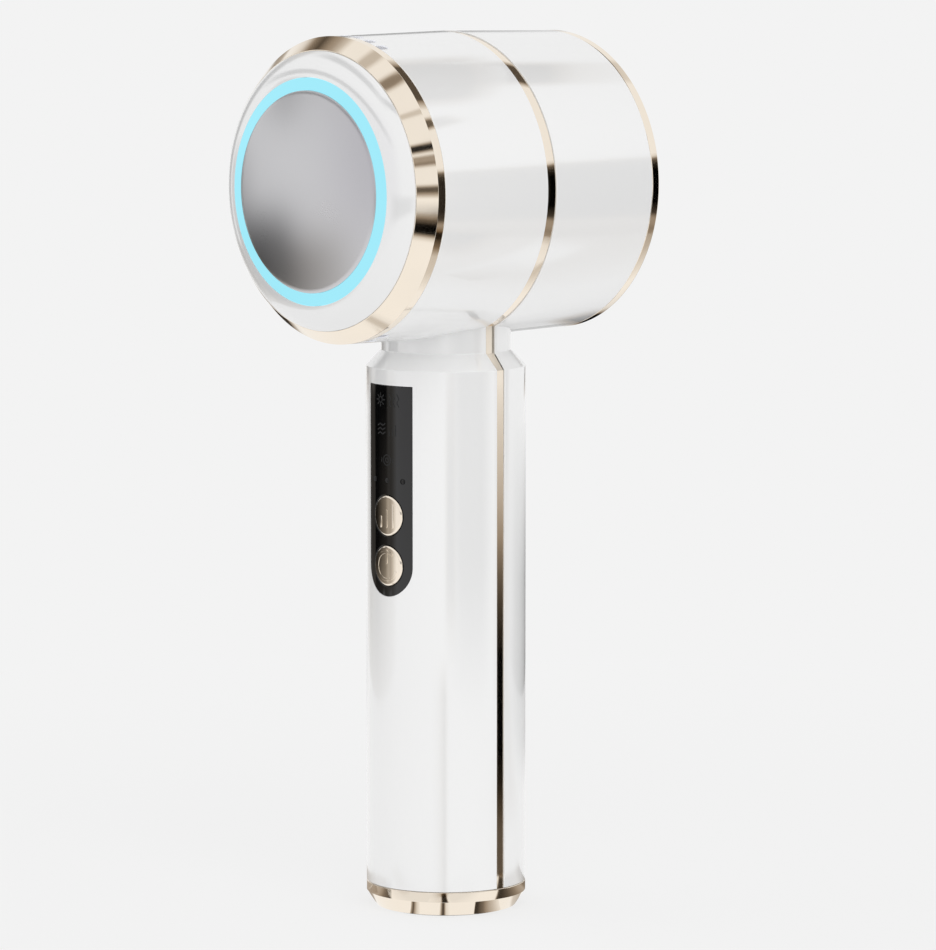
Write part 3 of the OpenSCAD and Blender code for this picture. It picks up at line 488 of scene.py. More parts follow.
def moulded_skin():
    """The fine skin of a moulded or sprayed surface: a small grain, and broad patches where it is
    a little smoother or duller. Sizes in millimetres."""
    tree, given, out = node_group(
        "moulded_skin",
        [("Grain", "Float", 0.3), ("Patch", "Float", 15.0), ("Roughness", "Float", 0.3),
         ("Spread", "Float", 0.05)],
        [("Roughness", "Float"), ("Height", "Float"), ("Patches", "Float")],
    )
    place = node(tree, "TexCoord").outputs["Object"]
    fine = node(tree, "TexNoise", {
        "Vector": place, "Scale": math_node(tree, "DIVIDE", 1000.0, given.outputs["Grain"]),
        "Detail": 2.0,
    }).outputs["Fac"]
    broad = node(tree, "TexNoise", {
        "Vector": place, "Scale": math_node(tree, "DIVIDE", 1000.0, given.outputs["Patch"]),
        "Detail": 3.0,
    }).outputs["Fac"]
    both = math_node(tree, "SUBTRACT", math_node(tree, "ADD", fine, broad), 1.0)
    swing = math_node(tree, "MULTIPLY", both, given.outputs["Spread"])
    rough = math_node(tree, "ADD", given.outputs["Roughness"], swing, clamp=True)
    tree.links.new(rough, out.inputs["Roughness"])
    tree.links.new(fine, out.inputs["Height"])
    tree.links.new(broad, out.inputs["Patches"])
    return tree


skin = moulded_skin()


def finish(name, colour, roughness, spread, grain, patch, height, metallic=0.0, tint=None,
           **given):
    """A material with the moulded skin on it. The patches lean from the colour towards the tint.
    Grain, patch and height in millimetres. More inputs of the shader are given by name."""
    material = bpy.data.materials.new(name)
    material.use_nodes = True
    tree = material.node_tree
    shader = tree.nodes["Principled BSDF"]
    surface = node(tree, "Group", {"Grain": grain, "Patch": patch, "Roughness": roughness,
                                   "Spread": spread}, node_tree=skin)
    tree.links.new(surface.outputs["Roughness"], shader.inputs["Roughness"])
    bump = node(tree, "Bump", {"Strength": 1.0, "Distance": height * MM,
                               "Height": surface.outputs["Height"]})
    tree.links.new(bump.outputs["Normal"], shader.inputs["Normal"])
    tint = tint or [c * 0.94 for c in colour]
    shade = mixed(tree, surface.outputs["Patches"], (*colour, 1), (*tint, 1))
    tree.links.new(shade, shader.inputs["Base Color"])
    shader.inputs["Metallic"].default_value = metallic
    for label, value in given.items():
        shader.inputs[label.replace("_", " ")].default_value = value
    return material


white_plastic = finish(
    "white_plastic", (0.872, 0.872, 0.868), 0.22, 0.05, 0.5, 22.0, 0.0003,
    tint=(0.864, 0.865, 0.866), Coat_Weight=1.0, Coat_Roughness=0.06, Coat_IOR=1.9,
)
done(front, white_plastic, "root", "white_shell", "front_shell")

# The walls and rims of the air slots get their own paler, bluish white without the gloss coat. This
# is painted light: it stands in for light inside the slots, where the walls lie in shade.
painted_light_slot_wall = finish("painted_light_slot_wall", (0.88, 0.89, 0.94), 0.6, 0.05, 0.2, 4.0, 0.002,
                   tint=(0.86, 0.87, 0.92))
front.data.materials.append(painted_light_slot_wall)
for face in front.data.polygons:
    x, y, z = face.center / MM
    r = math.hypot(x, z - HEAD_Z)
    inwards = abs(face.normal.x * x + face.normal.z * (z - HEAD_Z)) / r
    if y < -BARREL_HALF + SLOT_LEN + 0.5 and 30.6 < r < 32.45 and abs(x) < 14 and inwards < 0.9:
        if abs(face.normal.y) < 0.9 or y > -BARREL_HALF + 0.1:
            face.material_index = 1

# ---------- Rear shell ----------
# The rear half of the same glossy white moulding: drum, neck and handle. Four long screws run
# through its posts and clamp it to the front half, with the metal trim between them.
rear = half_shell("shell_rear", 1)
rear = tubes(rear, POST_SPOTS, RING_HALF + GAP, 21.45, POST_R, "UNION")
rear = tubes(rear, POST_SPOTS, 0, 23, LONG_SCREW_R, "DIFFERENCE", 32)
done(rear, white_plastic, "root", "white_shell", "rear_shell")

# ---------- Metal trim ----------
# One bright champagne-coloured piece between the shells: a ring round the drum's middle with two
# legs down the sides of the handle, polished and set a little below the plastic.
RECESS = 0.25
TRIM_T = 2.6


def lathe_lines():
    """The faint lines that turning and polishing leave round an axis."""
    tree, given, out = node_group(
        "lathe_lines",
        [("Axis", "Vector", (0, 1, 0)), ("Centre", "Vector", (0, 0, 0)),
         ("Pitch", "Float", 0.05)],
        [("Height", "Float")],
    )
    place = node(tree, "TexCoord").outputs["Object"]
    away = node(tree, "VectorMath", {0: place, 1: given.outputs["Centre"]},
                operation="SUBTRACT").outputs["Vector"]
    across = node(tree, "VectorMath", {0: away, 1: given.outputs["Axis"]},
                  operation="CROSS_PRODUCT").outputs["Vector"]
    radius = node(tree, "VectorMath", {0: across}, operation="LENGTH").outputs["Value"]
    along = node(tree, "VectorMath", {0: away, 1: given.outputs["Axis"]},
                 operation="DOT_PRODUCT").outputs["Value"]
    step = math_node(tree, "ADD", radius, math_node(tree, "MULTIPLY", along, 0.83))
    lines = node(tree, "TexNoise", {
        "W": step, "Scale": math_node(tree, "DIVIDE", 1000.0, given.outputs["Pitch"]),
        "Detail": 2.0,
    }, noise_dimensions="1D").outputs["Fac"]
    tree.links.new(lines, out.inputs["Height"])
    return tree


lathe = lathe_lines()


def turned_metal(name, colour, roughness, height, pitch):
    """Bright turned and polished metal, with its faint lines round the drum's axis."""
    material = finish(name, colour, roughness, 0.03, 0.12, 9.0, 0.0001, 1.0)
    tree = material.node_tree
    lines = node(tree, "Group", {"Axis": (0, 1, 0), "Centre": Vector((0, 0, HEAD_Z)) * MM,
                                 "Pitch": pitch}, node_tree=lathe)
    bump = node(tree, "Bump", {"Strength": 1.0, "Distance": height * MM,
                               "Height": lines.outputs["Height"]})
    tree.links.new(bump.outputs["Normal"], tree.nodes["Principled BSDF"].inputs["Normal"])
    return material


champagne = turned_metal("champagne_metal", (0.985, 0.885, 0.755), 0.07, 0.00004, 0.08)

trim = column("trim", RECESS, SHELL_LOW, NECK_TOP)
slab = [(half, z) for z, half in SLAB_HALVES] + [(-half, z) for z, half in SLAB_HALVES[::-1]]
trim = combined(trim, prism("slab", slab, "X", -SLAB_FAR, SLAB_FAR), "INTERSECT")
for side in (-1, 1):
    trim = eased(trim, 0.08, on_slab(side, 0, column_r(RECESS)))
trim = combined(trim, column("hollow", RECESS + TRIM_T, SHELL_LOW - 1, NECK_TOP + 3))
trim = combined(trim, cylinder_z("spigot", 15, 4, 10.75))
ring = turned(
    "ring",
    rounded([
        (HEAD_R - RECESS - TRIM_T, -RING_HALF), (barrel_r(RING_HALF) - RECESS, -RING_HALF, 0.1),
        (HEAD_R - RECESS, 0),
        (barrel_r(RING_HALF) - RECESS, RING_HALF, 0.1), (HEAD_R - RECESS - TRIM_T, RING_HALF),
    ]),
)
trim = combined(trim, ring, "UNION")
trim = tubes(trim, POST_SPOTS, -RING_HALF, RING_HALF, POST_R - 0.2, "UNION")
trim = tubes(trim, POST_SPOTS, -3, 3, LONG_SCREW_R, "DIFFERENCE", 32)
done(trim, champagne, "root", "champagne_metal", "trim_frame")

# ---------- Front bezel ----------
# A turned and polished metal collar with a straight band and a sloping one. Its spigot slips into
# the shells and its lip clamps the white nose.
END_R = HEAD_R - DRAFT
BAND_FRONT = -31.95
BEZEL_FRONT = -35.7
BEZEL_IN_R = 29.0
SPIGOT_R = 29.95
SPIGOT_END = 27.15
LIP_R = 27.7
LIP_FRONT = -33.2
bezel = turned(
    "bezel",
    rounded([
        (SPIGOT_R, -BARREL_HALF), (END_R, -BARREL_HALF, 0.2), (END_R, BAND_FRONT, 0.1),
        (BEZEL_IN_R + GAP, BEZEL_FRONT, 0.12), (BEZEL_IN_R + GAP, LIP_FRONT), (LIP_R, LIP_FRONT),
        (LIP_R, LIP_FRONT + 1), (28.4, LIP_FRONT + 1), (28.4, -SPIGOT_END),
        (SPIGOT_R, -SPIGOT_END),
    ]),
)
reach = SPIGOT_R * math.sin(math.radians(SLOT_PITCH * (SLOT_COUNT + 1) / 2))
air_way = [(-reach, 120), (reach, 120), (reach, 189), (-reach, 189)]
bezel = combined(bezel, prism("air_way", air_way, "Y", -BARREL_HALF, -24.8))
done(bezel, champagne, "root", "champagne_metal", "front_bezel")

# ---------- White nose ----------
# A rounded ring of gloss white plastic in front of the bezel, moulded with a groove in its rear.
# It sits on the bezel's lip and frames the light ring.


def bulge(a, b, radius, steps):
    """Points on an arc of that radius from a to b, bulging to the left of the way there."""
    a, b = Vector(a), Vector(b)
    half = (b - a).length / 2
    left = Vector((-(b - a).y, (b - a).x)).normalized()
    centre = (a + b) / 2 - left * math.sqrt(radius**2 - half**2)
    return arc_points(centre, radius, a - centre, b - centre, steps)


NOSE_FRONT = -38.6
LIGHT_R = 23.6
NOSE_R = BEZEL_IN_R + GAP - 0.005
NOSE_ROUND = 9.8
GROOVE_FRONT = -34.5
nose_face = bulge((NOSE_R, BEZEL_FRONT + 0.06), (LIGHT_R + GAP, NOSE_FRONT), NOSE_ROUND, 32)
nose = turned(
    "nose",
    nose_face + [(LIGHT_R + GAP, LIP_FRONT), (24.85, LIP_FRONT), (24.85, GROOVE_FRONT),
                 (28, GROOVE_FRONT), (28, LIP_FRONT), (NOSE_R, LIP_FRONT)],
)
gloss_white = finish(
    "gloss_white", (0.82, 0.82, 0.818), 0.2, 0.05, 0.5, 22.0, 0.0003,
    tint=(0.812, 0.813, 0.814), Coat_Weight=1.0, Coat_Roughness=0.05, Coat_IOR=2.5,
)
done(nose, gloss_white, "root", "white_nose", "nose_ring")

# ---------- Light ring ----------
# A ring of milky plastic round the plate, moulded with softened edges and held inside the white
# nose. The small board behind it lights it in pale cyan.
LIGHT_IN_R = 21.05
LIGHT_FRONT = -39.15
LIGHT_REAR = -34.1
cyan_light = finish("cyan_light", (0.01, 0.03, 0.035), 0.3, 0.05, 0.4, 6.0, 0.001,
                    Emission_Strength=1.0, Specular_IOR_Level=0.2)
tree = cyan_light.node_tree
glow = mixed(tree, tree.nodes["Group"].outputs["Patches"], (0.335, 0.785, 0.91, 1),
             (0.345, 0.80, 0.925, 1))
tree.links.new(glow, tree.nodes["Principled BSDF"].inputs["Emission Color"])
light = turned(
    "light_guide",
    rounded([(LIGHT_R, LIGHT_REAR), (LIGHT_R, NOSE_FRONT, 0.08), (LIGHT_IN_R, LIGHT_FRONT, 0.08),
             (LIGHT_IN_R, LIGHT_REAR)]),
)
done(light, cyan_light, "root", "light_guide", "light_ring")

# ---------- Treatment plate ----------
# A domed disc of satin stainless steel, pressed with a skirt that the carrier holds in its seal.
# It passes warmth and vibration to the skin.
PLATE_R = 21.0
DOME_ROUND = 108
sag = DOME_ROUND - math.sqrt(DOME_ROUND**2 - PLATE_R**2)
SKIRT_REAR = -34.2
SKIRT_IN_R = 19.8
PLATE_BACK = -38.4
satin_steel = finish("satin_steel", (0.66, 0.655, 0.67), 0.28, 0.02, 0.12, 14.0, 0.00012, 1.0,
                     (0.65, 0.65, 0.665))
dome = []
for i in range(25):
    r = (PLATE_R - 0.12) * i / 24
    dome.append((r, LIGHT_FRONT - sag + DOME_ROUND - math.sqrt(DOME_ROUND**2 - r * r)))
plate = turned(
    "plate",
    dome + [(PLATE_R - 0.05, LIGHT_FRONT + 0.03), (PLATE_R, LIGHT_FRONT + 0.12),
            (PLATE_R, SKIRT_REAR), (SKIRT_IN_R, SKIRT_REAR), (SKIRT_IN_R, PLATE_BACK),
            (0, PLATE_BACK)],
)
done(plate, satin_steel, "root", "stainless", "treatment_plate")

# ---------- Parts behind the plate ----------
# A grey silicone seal and a black carrier hold the plate. Behind it a turned aluminium disc couples
# the plate to a silvered ceramic disc, with a small epoxy bead that senses the warmth.


def dressed(material, *names):
    """Gives CAD nodes a finish. Their shapes stay as they are."""
    for name in names:
        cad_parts[name].material_slots[0].material = material


def overlaid(material, mask, colour, metal=False):
    """Lays a colour over a finish where the mask is 1. With metal, it is bare metal there."""
    tree = material.node_tree
    shader = tree.nodes["Principled BSDF"]
    base = shader.inputs["Base Color"]
    tree.links.new(mixed(tree, mask, base.links[0].from_socket, colour), base)
    if metal:
        tree.links.new(mask, shader.inputs["Metallic"])


silicone = finish("silicone", (0.26, 0.27, 0.29), 0.55, 0.1, 0.25, 6.0, 0.004)
dark_plastic = finish("dark_plastic", (0.014, 0.014, 0.015), 0.42, 0.08, 0.18, 8.0, 0.006)
aluminium = turned_metal("turned_aluminium", (0.75, 0.76, 0.78), 0.2, 0.0006, 0.15)
SILVER_R = 11.7
ceramic = finish("silvered_ceramic", (0.6, 0.55, 0.42), 0.5, 0.08, 0.08, 5.0, 0.003)
tree = ceramic.node_tree
spot = node(tree, "VectorMath", {0: node(tree, "TexCoord").outputs["Object"],
                                 1: (0, 0, HEAD_Z * MM)}, operation="SUBTRACT").outputs["Vector"]
flat = node(tree, "VectorMath", {0: spot, 1: (1, 0, 1)}, operation="MULTIPLY").outputs["Vector"]
away = node(tree, "VectorMath", {0: flat}, operation="LENGTH").outputs["Value"]
silvered = math_node(tree, "LESS_THAN", away, SILVER_R * MM)
overlaid(ceramic, silvered, (0.8, 0.79, 0.76, 1), metal=True)
epoxy = finish("epoxy_bead", (0.02, 0.02, 0.022), 0.12, 0.05, 0.5, 1.0, 0.004)
dressed(silicone, "plate_seal")
dressed(dark_plastic, "plate_carrier")
dressed(aluminium, "coupling_disc")
dressed(ceramic, "ultrasonic_transducer")
dressed(epoxy, "temperature_sensor")

# ---------- Circuit boards ----------
# Green boards with copper tracks under the lacquer and tinned pads. They carry chips in black
# epoxy, small lamps with a yellow face, sleeved capacitors and a taped ferrite transformer.


def board_print():
    """Tracks and pads of a board: two masks from a square cell pattern. Pitch in millimetres."""
    tree, given, out = node_group(
        "board_print", [("Pitch", "Float", 2.0)], [("Tracks", "Float"), ("Pads", "Float")]
    )
    place = node(tree, "TexCoord").outputs["Object"]
    size = math_node(tree, "DIVIDE", 1000.0, given.outputs["Pitch"])
    cells = node(tree, "TexVoronoi", {"Vector": place, "Scale": size, "Randomness": 0.6},
                 distance="CHEBYCHEV").outputs["Distance"]
    rings = math_node(tree, "FRACT", math_node(tree, "MULTIPLY", cells, 3.0))
    tree.links.new(math_node(tree, "GREATER_THAN", rings, 0.62), out.inputs["Tracks"])
    tree.links.new(math_node(tree, "LESS_THAN", cells, 0.09), out.inputs["Pads"])
    return tree


def object_xyz(tree):
    """The place on the object as three numbers, in metres."""
    return node(tree, "SeparateXYZ", {0: node(tree, "TexCoord").outputs["Object"]}).outputs


def beyond(material, axis, middle, half):
    """1 outside a belt across an axis and 0 inside it, in millimetres."""
    tree = material.node_tree
    away = math_node(tree, "SUBTRACT", object_xyz(tree)[axis], middle * MM)
    return math_node(tree, "GREATER_THAN", math_node(tree, "ABSOLUTE", away), half * MM)


board = finish("green_board", (0.012, 0.11, 0.045), 0.3, 0.08, 0.15, 9.0, 0.001)
printed = node(board.node_tree, "Group", {"Pitch": 2.2}, node_tree=board_print()).outputs
overlaid(board, printed["Tracks"], (0.03, 0.2, 0.08, 1))
overlaid(board, printed["Pads"], (0.72, 0.71, 0.68, 1), metal=True)
chip = finish("chip_epoxy", (0.012, 0.012, 0.013), 0.48, 0.06, 0.06, 3.0, 0.003)
small_lamp = finish("small_lamp", (0.8, 0.72, 0.36), 0.3, 0.08, 0.2, 0.8, 0.002,
                    tint=(0.86, 0.85, 0.8))
sleeve = finish("capacitor_sleeve", (0.03, 0.035, 0.07), 0.3, 0.05, 0.3, 4.0, 0.002)
overlaid(sleeve, beyond(sleeve, "Y", -16.5, 5.2), (0.7, 0.7, 0.72, 1), metal=True)
ferrite = finish("taped_transformer", (0.62, 0.36, 0.04), 0.35, 0.08, 0.4, 3.0, 0.004)
overlaid(ferrite, beyond(ferrite, "Y", -17, 2.6), (0.03, 0.03, 0.032, 1))
wire = finish("red_wire", (0.5, 0.02, 0.015), 0.4, 0.06, 0.3, 5.0, 0.002)
dressed(board, "led_ring_board", "driver_board", "main_board", "charge_board")
dressed(chip, "driver_chips", "board_chips", "charge_chips")
dressed(small_lamp, "ring_leds", "symbol_leds", "indicator_leds")
dressed(sleeve, "driver_capacitors")
dressed(ferrite, "driver_transformer")
dressed(wire, "transducer_leads", "motor_leads")

# ---------- Vibration motor ----------
# A drawn steel motor in a grey bracket across the rear posts. Its shaft turns a sintered half-round
# weight, which shakes the head.
motor_can = turned_metal("motor_can", (0.6, 0.6, 0.61), 0.25, 0.0004, 0.3)
shaft_steel = turned_metal("ground_shaft", (0.55, 0.55, 0.57), 0.15, 0.0003, 0.1)
sintered = finish("sintered_weight", (0.2, 0.195, 0.19), 0.5, 0.2, 0.15, 2.0, 0.01, 1.0,
                  (0.13, 0.125, 0.12))
grey_plastic = finish("grey_plastic", (0.13, 0.135, 0.145), 0.45, 0.08, 0.22, 10.0, 0.006)
dressed(motor_can, "vibration_motor")
dressed(shaft_steel, "motor_shaft")
dressed(sintered, "eccentric_weight")
dressed(grey_plastic, "motor_bracket")

# ---------- Handle inside ----------
# A grey chassis carries the main board, its switches, the buzzer and the white frame behind the
# symbols. A flat ribbon cable runs up to the head.
frame_white = finish("light_frame_plastic", (0.78, 0.78, 0.77), 0.5, 0.08, 0.25, 8.0, 0.004)
CORE_PITCH = 0.64
RED_EDGE_X = 3.4
CORE_RISE = 0.15
ribbon = finish("ribbon_cable", (0.5, 0.5, 0.52), 0.45, 0.06, 0.3, 6.0, 0.002)
tree = ribbon.node_tree
turns = math_node(tree, "MULTIPLY", object_xyz(tree)["X"], 2 * math.pi / (CORE_PITCH * MM))
wave = math_node(tree, "ADD", math_node(tree, "SINE", turns), 1.0)
cores = math_node(tree, "MULTIPLY", wave, 0.5)
overlaid(ribbon, cores, (0.62, 0.62, 0.63, 1))
marked = math_node(tree, "GREATER_THAN", object_xyz(tree)["X"], RED_EDGE_X * MM)
overlaid(ribbon, marked, (0.45, 0.03, 0.02, 1))
ridges = node(tree, "Bump", {"Strength": 1.0, "Distance": CORE_RISE * MM, "Height": cores})
tree.links.new(ridges.outputs["Normal"], tree.nodes["Principled BSDF"].inputs["Normal"])
dressed(grey_plastic, "chassis", "mode_switch", "power_switch")
dressed(dark_plastic, "mode_stem", "power_stem", "buzzer", "usb_tongue")
dressed(frame_white, "symbol_light_frame")
dressed(ribbon, "head_cable")

# ---------- Battery ----------
# One round lithium cell in blue shrink film, upright in the chassis in the lower half of the
# handle. Pale insulating paper covers both of its ends.
film = finish("shrink_film", (0.02, 0.07, 0.22), 0.25, 0.08, 1.2, 10.0, 0.03,
              tint=(0.025, 0.085, 0.26))
overlaid(film, beyond(film, "Z", 39.6, 24.6), (0.75, 0.74, 0.7, 1))
dressed(film, "battery_cell")

# ---------- Rear ring and cap ----------
# A turned and polished metal ring like the bezel, with its spigot in the rear shell. A white
# moulded cap snaps into it and closes the drum.
RING_IN_R = 28.6
RING_REAR = 32
CAP_SEAT = 30
rear_ring = turned(
    "ring_rear",
    rounded([
        (LIP_R, CAP_SEAT - 1), (RING_IN_R, CAP_SEAT - 1), (RING_IN_R, SPIGOT_END),
        (SPIGOT_R, SPIGOT_END), (SPIGOT_R, BARREL_HALF), (END_R, BARREL_HALF, 0.2),
        (END_R, RING_REAR, 0.3), (RING_IN_R, RING_REAR, 0.25), (RING_IN_R, CAP_SEAT),
        (LIP_R, CAP_SEAT),
    ]),
)
done(rear_ring, champagne, "root", "champagne_metal", "rear_ring")
cap = turned(
    "cap",
    rounded([
        (0, CAP_SEAT), (26.25, CAP_SEAT), (26.25, 28), (27.65, 28), (27.65, CAP_SEAT),
        (28.55, CAP_SEAT),
        (28.55, 31.6, 0.3), (24, 31.6), (12, 31.6), (0, 31.6),
    ]),
)
done(cap, white_plastic, "root", "white_shell", "rear_cap")

# ---------- Control panel ----------
# A plate of black gloss plastic, bent to the handle's curve and glued into its seat. It has two
# round openings for the buttons and three small ones for the indicator lights.
PANEL_FACE = -HANDLE_R
black_gloss = finish("black_gloss", (0.002, 0.002, 0.0022), 0.05, 0.03, 0.6, 12.0, 0.0003,
                     tint=(0.0035, 0.0035, 0.0035), IOR=1.6)


def bent(piece, radius, below=0.0):
    """The flat part takes the handle's curve: each point sinks by the curve's fall at its place.
    Points further back than below stay where they are."""
    for v in piece.data.vertices:
        if v.co.y < below * MM:
            x = v.co.x / MM
            v.co.y += (radius - math.sqrt(radius**2 - x * x)) * MM
    return piece


def sliced(piece, pitch, half):
    """Cuts the piece's faces into upright strips, so that it can be bent."""
    only(piece)
    bpy.ops.object.mode_set(mode="EDIT")
    count = int(half / pitch)
    for i in range(-count, count + 1):
        bpy.ops.mesh.select_all(action="SELECT")
        bpy.ops.mesh.bisect(plane_co=(i * pitch * MM, 0, 0), plane_no=(1, 0, 0))
    bpy.ops.object.mode_set(mode="OBJECT")
    return piece


panel = prism("panel", panel_outline(0), "Y", PANEL_FACE, PANEL_FACE + PANEL_T)
panel = eased(panel, 0.1, lambda a, b: max(a.y, b.y) < PANEL_FACE + 0.01)
flare = [(0, CUT_FRONT), (BUTTON_HOLE_R + 0.1, CUT_FRONT), (BUTTON_HOLE_R + 0.1, PANEL_FACE),
         (BUTTON_HOLE_R, PANEL_FACE + 0.1), (BUTTON_HOLE_R, -14), (0, -14)]
for z in (POWER_Z, MODE_Z):
    panel = combined(panel, turned("opening", flare, "Y", (0, 0, z), 96))
panel = tubes(panel, PIPE_SPOTS, CUT_FRONT, -14, PIPE_HOLE_R, "DIFFERENCE", 32)
panel = sliced(panel, 0.35, PANEL_HALF)
panel = bent(panel, HANDLE_R)
done(panel, black_gloss, "root", "black_gloss", "control_panel")

# ---------- Buttons ----------
# Two round champagne-coloured buttons whose faces follow the handle. Each has a flange behind the
# panel that keeps it in, and a thin raised mark on its face.
BUTTON_R = 4.22
BUTTON_FACE = -17.2
FLANGE_R = 5.2
FLANGE_FRONT = -13.342
FLANGE_REAR = -12.542
MARK_W = 0.62
MARK_RISE = 0.07


def button(name, z):
    """A button cap with its flange. The rings on its face let it take the handle's curve."""
    rings = [(BUTTON_R - 0.55) * i / 10 for i in range(11)]
    outline = [(r, BUTTON_FACE) for r in rings]
    outline += rounded([(0, BUTTON_FACE), (BUTTON_R - 0.32, BUTTON_FACE, 0.05),
                        (BUTTON_R, BUTTON_FACE + 0.22, 0.06), (BUTTON_R, -16)])[1:-1]
    outline += [(BUTTON_R, -16), (BUTTON_R, FLANGE_FRONT), (FLANGE_R, FLANGE_FRONT),
                (FLANGE_R, FLANGE_REAR), (0, FLANGE_REAR)]
    return bent(turned(name, outline, "Y", (0, 0, z), 128), -BUTTON_FACE, -16.5)


def stroke(name, x0, z0, x1, z1, width, rise, face):
    """A raised line with round ends and eased edges."""
    along = Vector((x1 - x0, z1 - z0)).normalized()
    start = math.atan2(along.y, along.x)
    half = width / 2
    outline = []
    for (x, z), first in (((x1, z1), start - math.pi / 2), ((x0, z0), start + math.pi / 2)):
        for i in range(9):
            a = first + math.pi * i / 8
            outline.append((x + half * math.cos(a), z + half * math.sin(a)))
    mark = prism(name, outline, "Y", face - rise, face + 0.15)
    return eased(mark, rise * 0.6, lambda a, b: max(a.y, b.y) < face - rise + 0.001, 2)


def arc_stroke(name, z, radius, gap, width, rise, face):
    """A raised ring with a gap at its top."""
    half = width / 2
    edge = rise * 0.6
    outline = [(radius - half, face + 0.15), (radius - half, face - rise + edge),
               (radius - half + edge, face - rise), (radius + half - edge, face - rise),
               (radius + half, face - rise + edge), (radius + half, face + 0.15)]
    turn = math.radians(360 - gap)
    first = math.radians(gap / 2)
    points = [(r * math.sin(first), y, z + r * math.cos(first)) for r, y in outline]
    mark = drawn(name, points)
    bpy.ops.mesh.edge_face_add()
    bpy.ops.mesh.spin(steps=96, angle=turn, center=(0, 0, z * MM), axis=(0, 1, 0))
    closed_up()
    return mark


for name, z in (("mode", MODE_Z), ("power", POWER_Z)):
    done(button(name + "_cap", z), champagne, name + "_button", "champagne_metal",
         name + "_button")
foot = MODE_Z - 2.3
marks = [stroke("mode_mark", x, foot, x, foot + tall, MARK_W, MARK_RISE, BUTTON_FACE)
         for x, tall in ((-1.75, 1.9), (0, 3.3), (1.75, 4.6))]
mode_mark = bent(sliced(merged("mode_mark", marks), 0.3, 3), -BUTTON_FACE)
done(mode_mark, champagne, "mode_button", "champagne_metal")
marks = [arc_stroke("power_mark", POWER_Z, 2.92, 74, MARK_W, MARK_RISE, BUTTON_FACE),
         stroke("power_mark", 0, POWER_Z + 0.7, 0, POWER_Z + 3.2, MARK_W, MARK_RISE, BUTTON_FACE)]
power_mark = bent(merged("power_mark", marks), -BUTTON_FACE)
done(power_mark, champagne, "power_button", "champagne_metal")

# ---------- Indicator lights ----------
# Three pipes of smoked plastic bring the light of small lamps on the main board to the panel.
# They end flush with it, each in a thin printed ring, and are dark when off.
PIPE_R = 0.55
PIPE_REAR = -10.04
smoked = finish("smoked_plastic", (0.02, 0.02, 0.021), 0.16, 0.05, 0.2, 1.5, 0.001)
pipes, rings = [], []
for x in INDICATOR_XS:
    face = -math.sqrt(HANDLE_R**2 - x * x)
    pipe = [(0, face + 0.06), (0.36, face + 0.04), (0.4, face + 0.01), (0.53, face + 0.01),
            (PIPE_R, face + 0.03), (PIPE_R, PIPE_REAR), (0, PIPE_REAR)]
    pipes.append(turned("pipe", pipe, "Y", (x, 0, INDICATOR_Z), 48))
    ring = [(0.42, face + 0.05), (0.42, face - 0.015), (PIPE_R, face - 0.015),
            (PIPE_R, face + 0.05)]
    rings.append(turned("ring", ring, "Y", (x, 0, INDICATOR_Z), 48))
done(merged("indicator_lights", pipes), smoked, "root", "white_plastic", "indicator_pipes")

# ---------- Panel symbols ----------
# Three rows of small grey marks printed on the panel over the symbol lights: warmth and rays,
# waves and levels, and a target. They are faint while the lights behind them are off.
PRINT_RISE = 0.012
PRINT_W = 0.26


def line(x0, z0, x1, z1):
    """A straight printed line."""
    return stroke("line", x0, z0, x1, z1, PRINT_W, PRINT_RISE, PANEL_FACE)


def hoop(x, z, radius):
    """A printed circle."""
    inner, outer = radius - PRINT_W / 2, radius + PRINT_W / 2
    face, back = PANEL_FACE - PRINT_RISE, PANEL_FACE + 0.1
    outline = [(inner, back), (inner, face), (outer, face), (outer, back)]
    return turned("hoop", outline, "Y", (x, 0, z), 48)


low, middle, high = WINDOW_ZS
prints = [hoop(-2.1, high, 0.6)]
for degrees in range(0, 360, 45):
    x, z = math.cos(math.radians(degrees)), math.sin(math.radians(degrees))
    prints.append(line(-2.1 + 0.95 * x, high + 0.95 * z, -2.1 + 1.35 * x, high + 1.35 * z))
for x in (0.9, 2.0, 3.1):
    for i, (z0, z1) in enumerate(((-1.3, -0.45), (-0.45, 0.45), (0.45, 1.3))):
        side = 0.25 if i % 2 else -0.25
        prints.append(line(x - side, high + z0, x + side, high + z1))
for z in (-0.9, 0, 0.9):
    prints.append(line(-3.0, middle + z, -2.2, middle + z + 0.4))
    prints.append(line(-2.2, middle + z + 0.4, -1.4, middle + z))
    prints.append(line(-1.4, middle + z, -0.6, middle + z + 0.4))
for x, tall in ((0.7, 0.7), (1.6, 1.4), (2.5, 2.2)):
    prints.append(line(x, middle - 1.1, x, middle - 1.1 + tall))
prints += [hoop(0, low, 1.1), hoop(0, low, 0.45)]
for x in (-1.7, 1.7):
    prints.append(line(x, low - 0.35, x, low + 0.35))
grey_print = finish("grey_print", (0.016, 0.016, 0.017), 0.4, 0.1, 0.15, 2.0, 0.001,
                    tint=(0.012, 0.012, 0.013), Specular_IOR_Level=0.3)
symbols = bent(sliced(merged("panel_symbols", prints), 0.35, 4), HANDLE_R)
done(symbols, grey_print, "root", "black_gloss")
done(merged("indicator_rings", rings), grey_print, "root", "black_gloss")

# ---------- Base cap ----------
# A turned metal cap with a straight band and a chamfer. Its spigot fits into the shells and two
# screws under the rubber pad hold it.
BASE_SPOTS = (-10.6, 10.6)
SOCKET_R = 1.63
SOCKET_HALF = 4.47
SOCKET_Y = 5.5
base = turned(
    "base",
    rounded([
        (0, 0.3), (14.9, 0.3, 0.12), (HANDLE_R, 3.4, 0.1), (HANDLE_R, 5.55, 0.2),
        (14.95, 5.55), (14.95, 10.7), (13.55, 10.7), (13.55, 2.3), (0, 2.3),
    ]),
    "Z", (0, 0, 0), DRUM_STEPS,
)


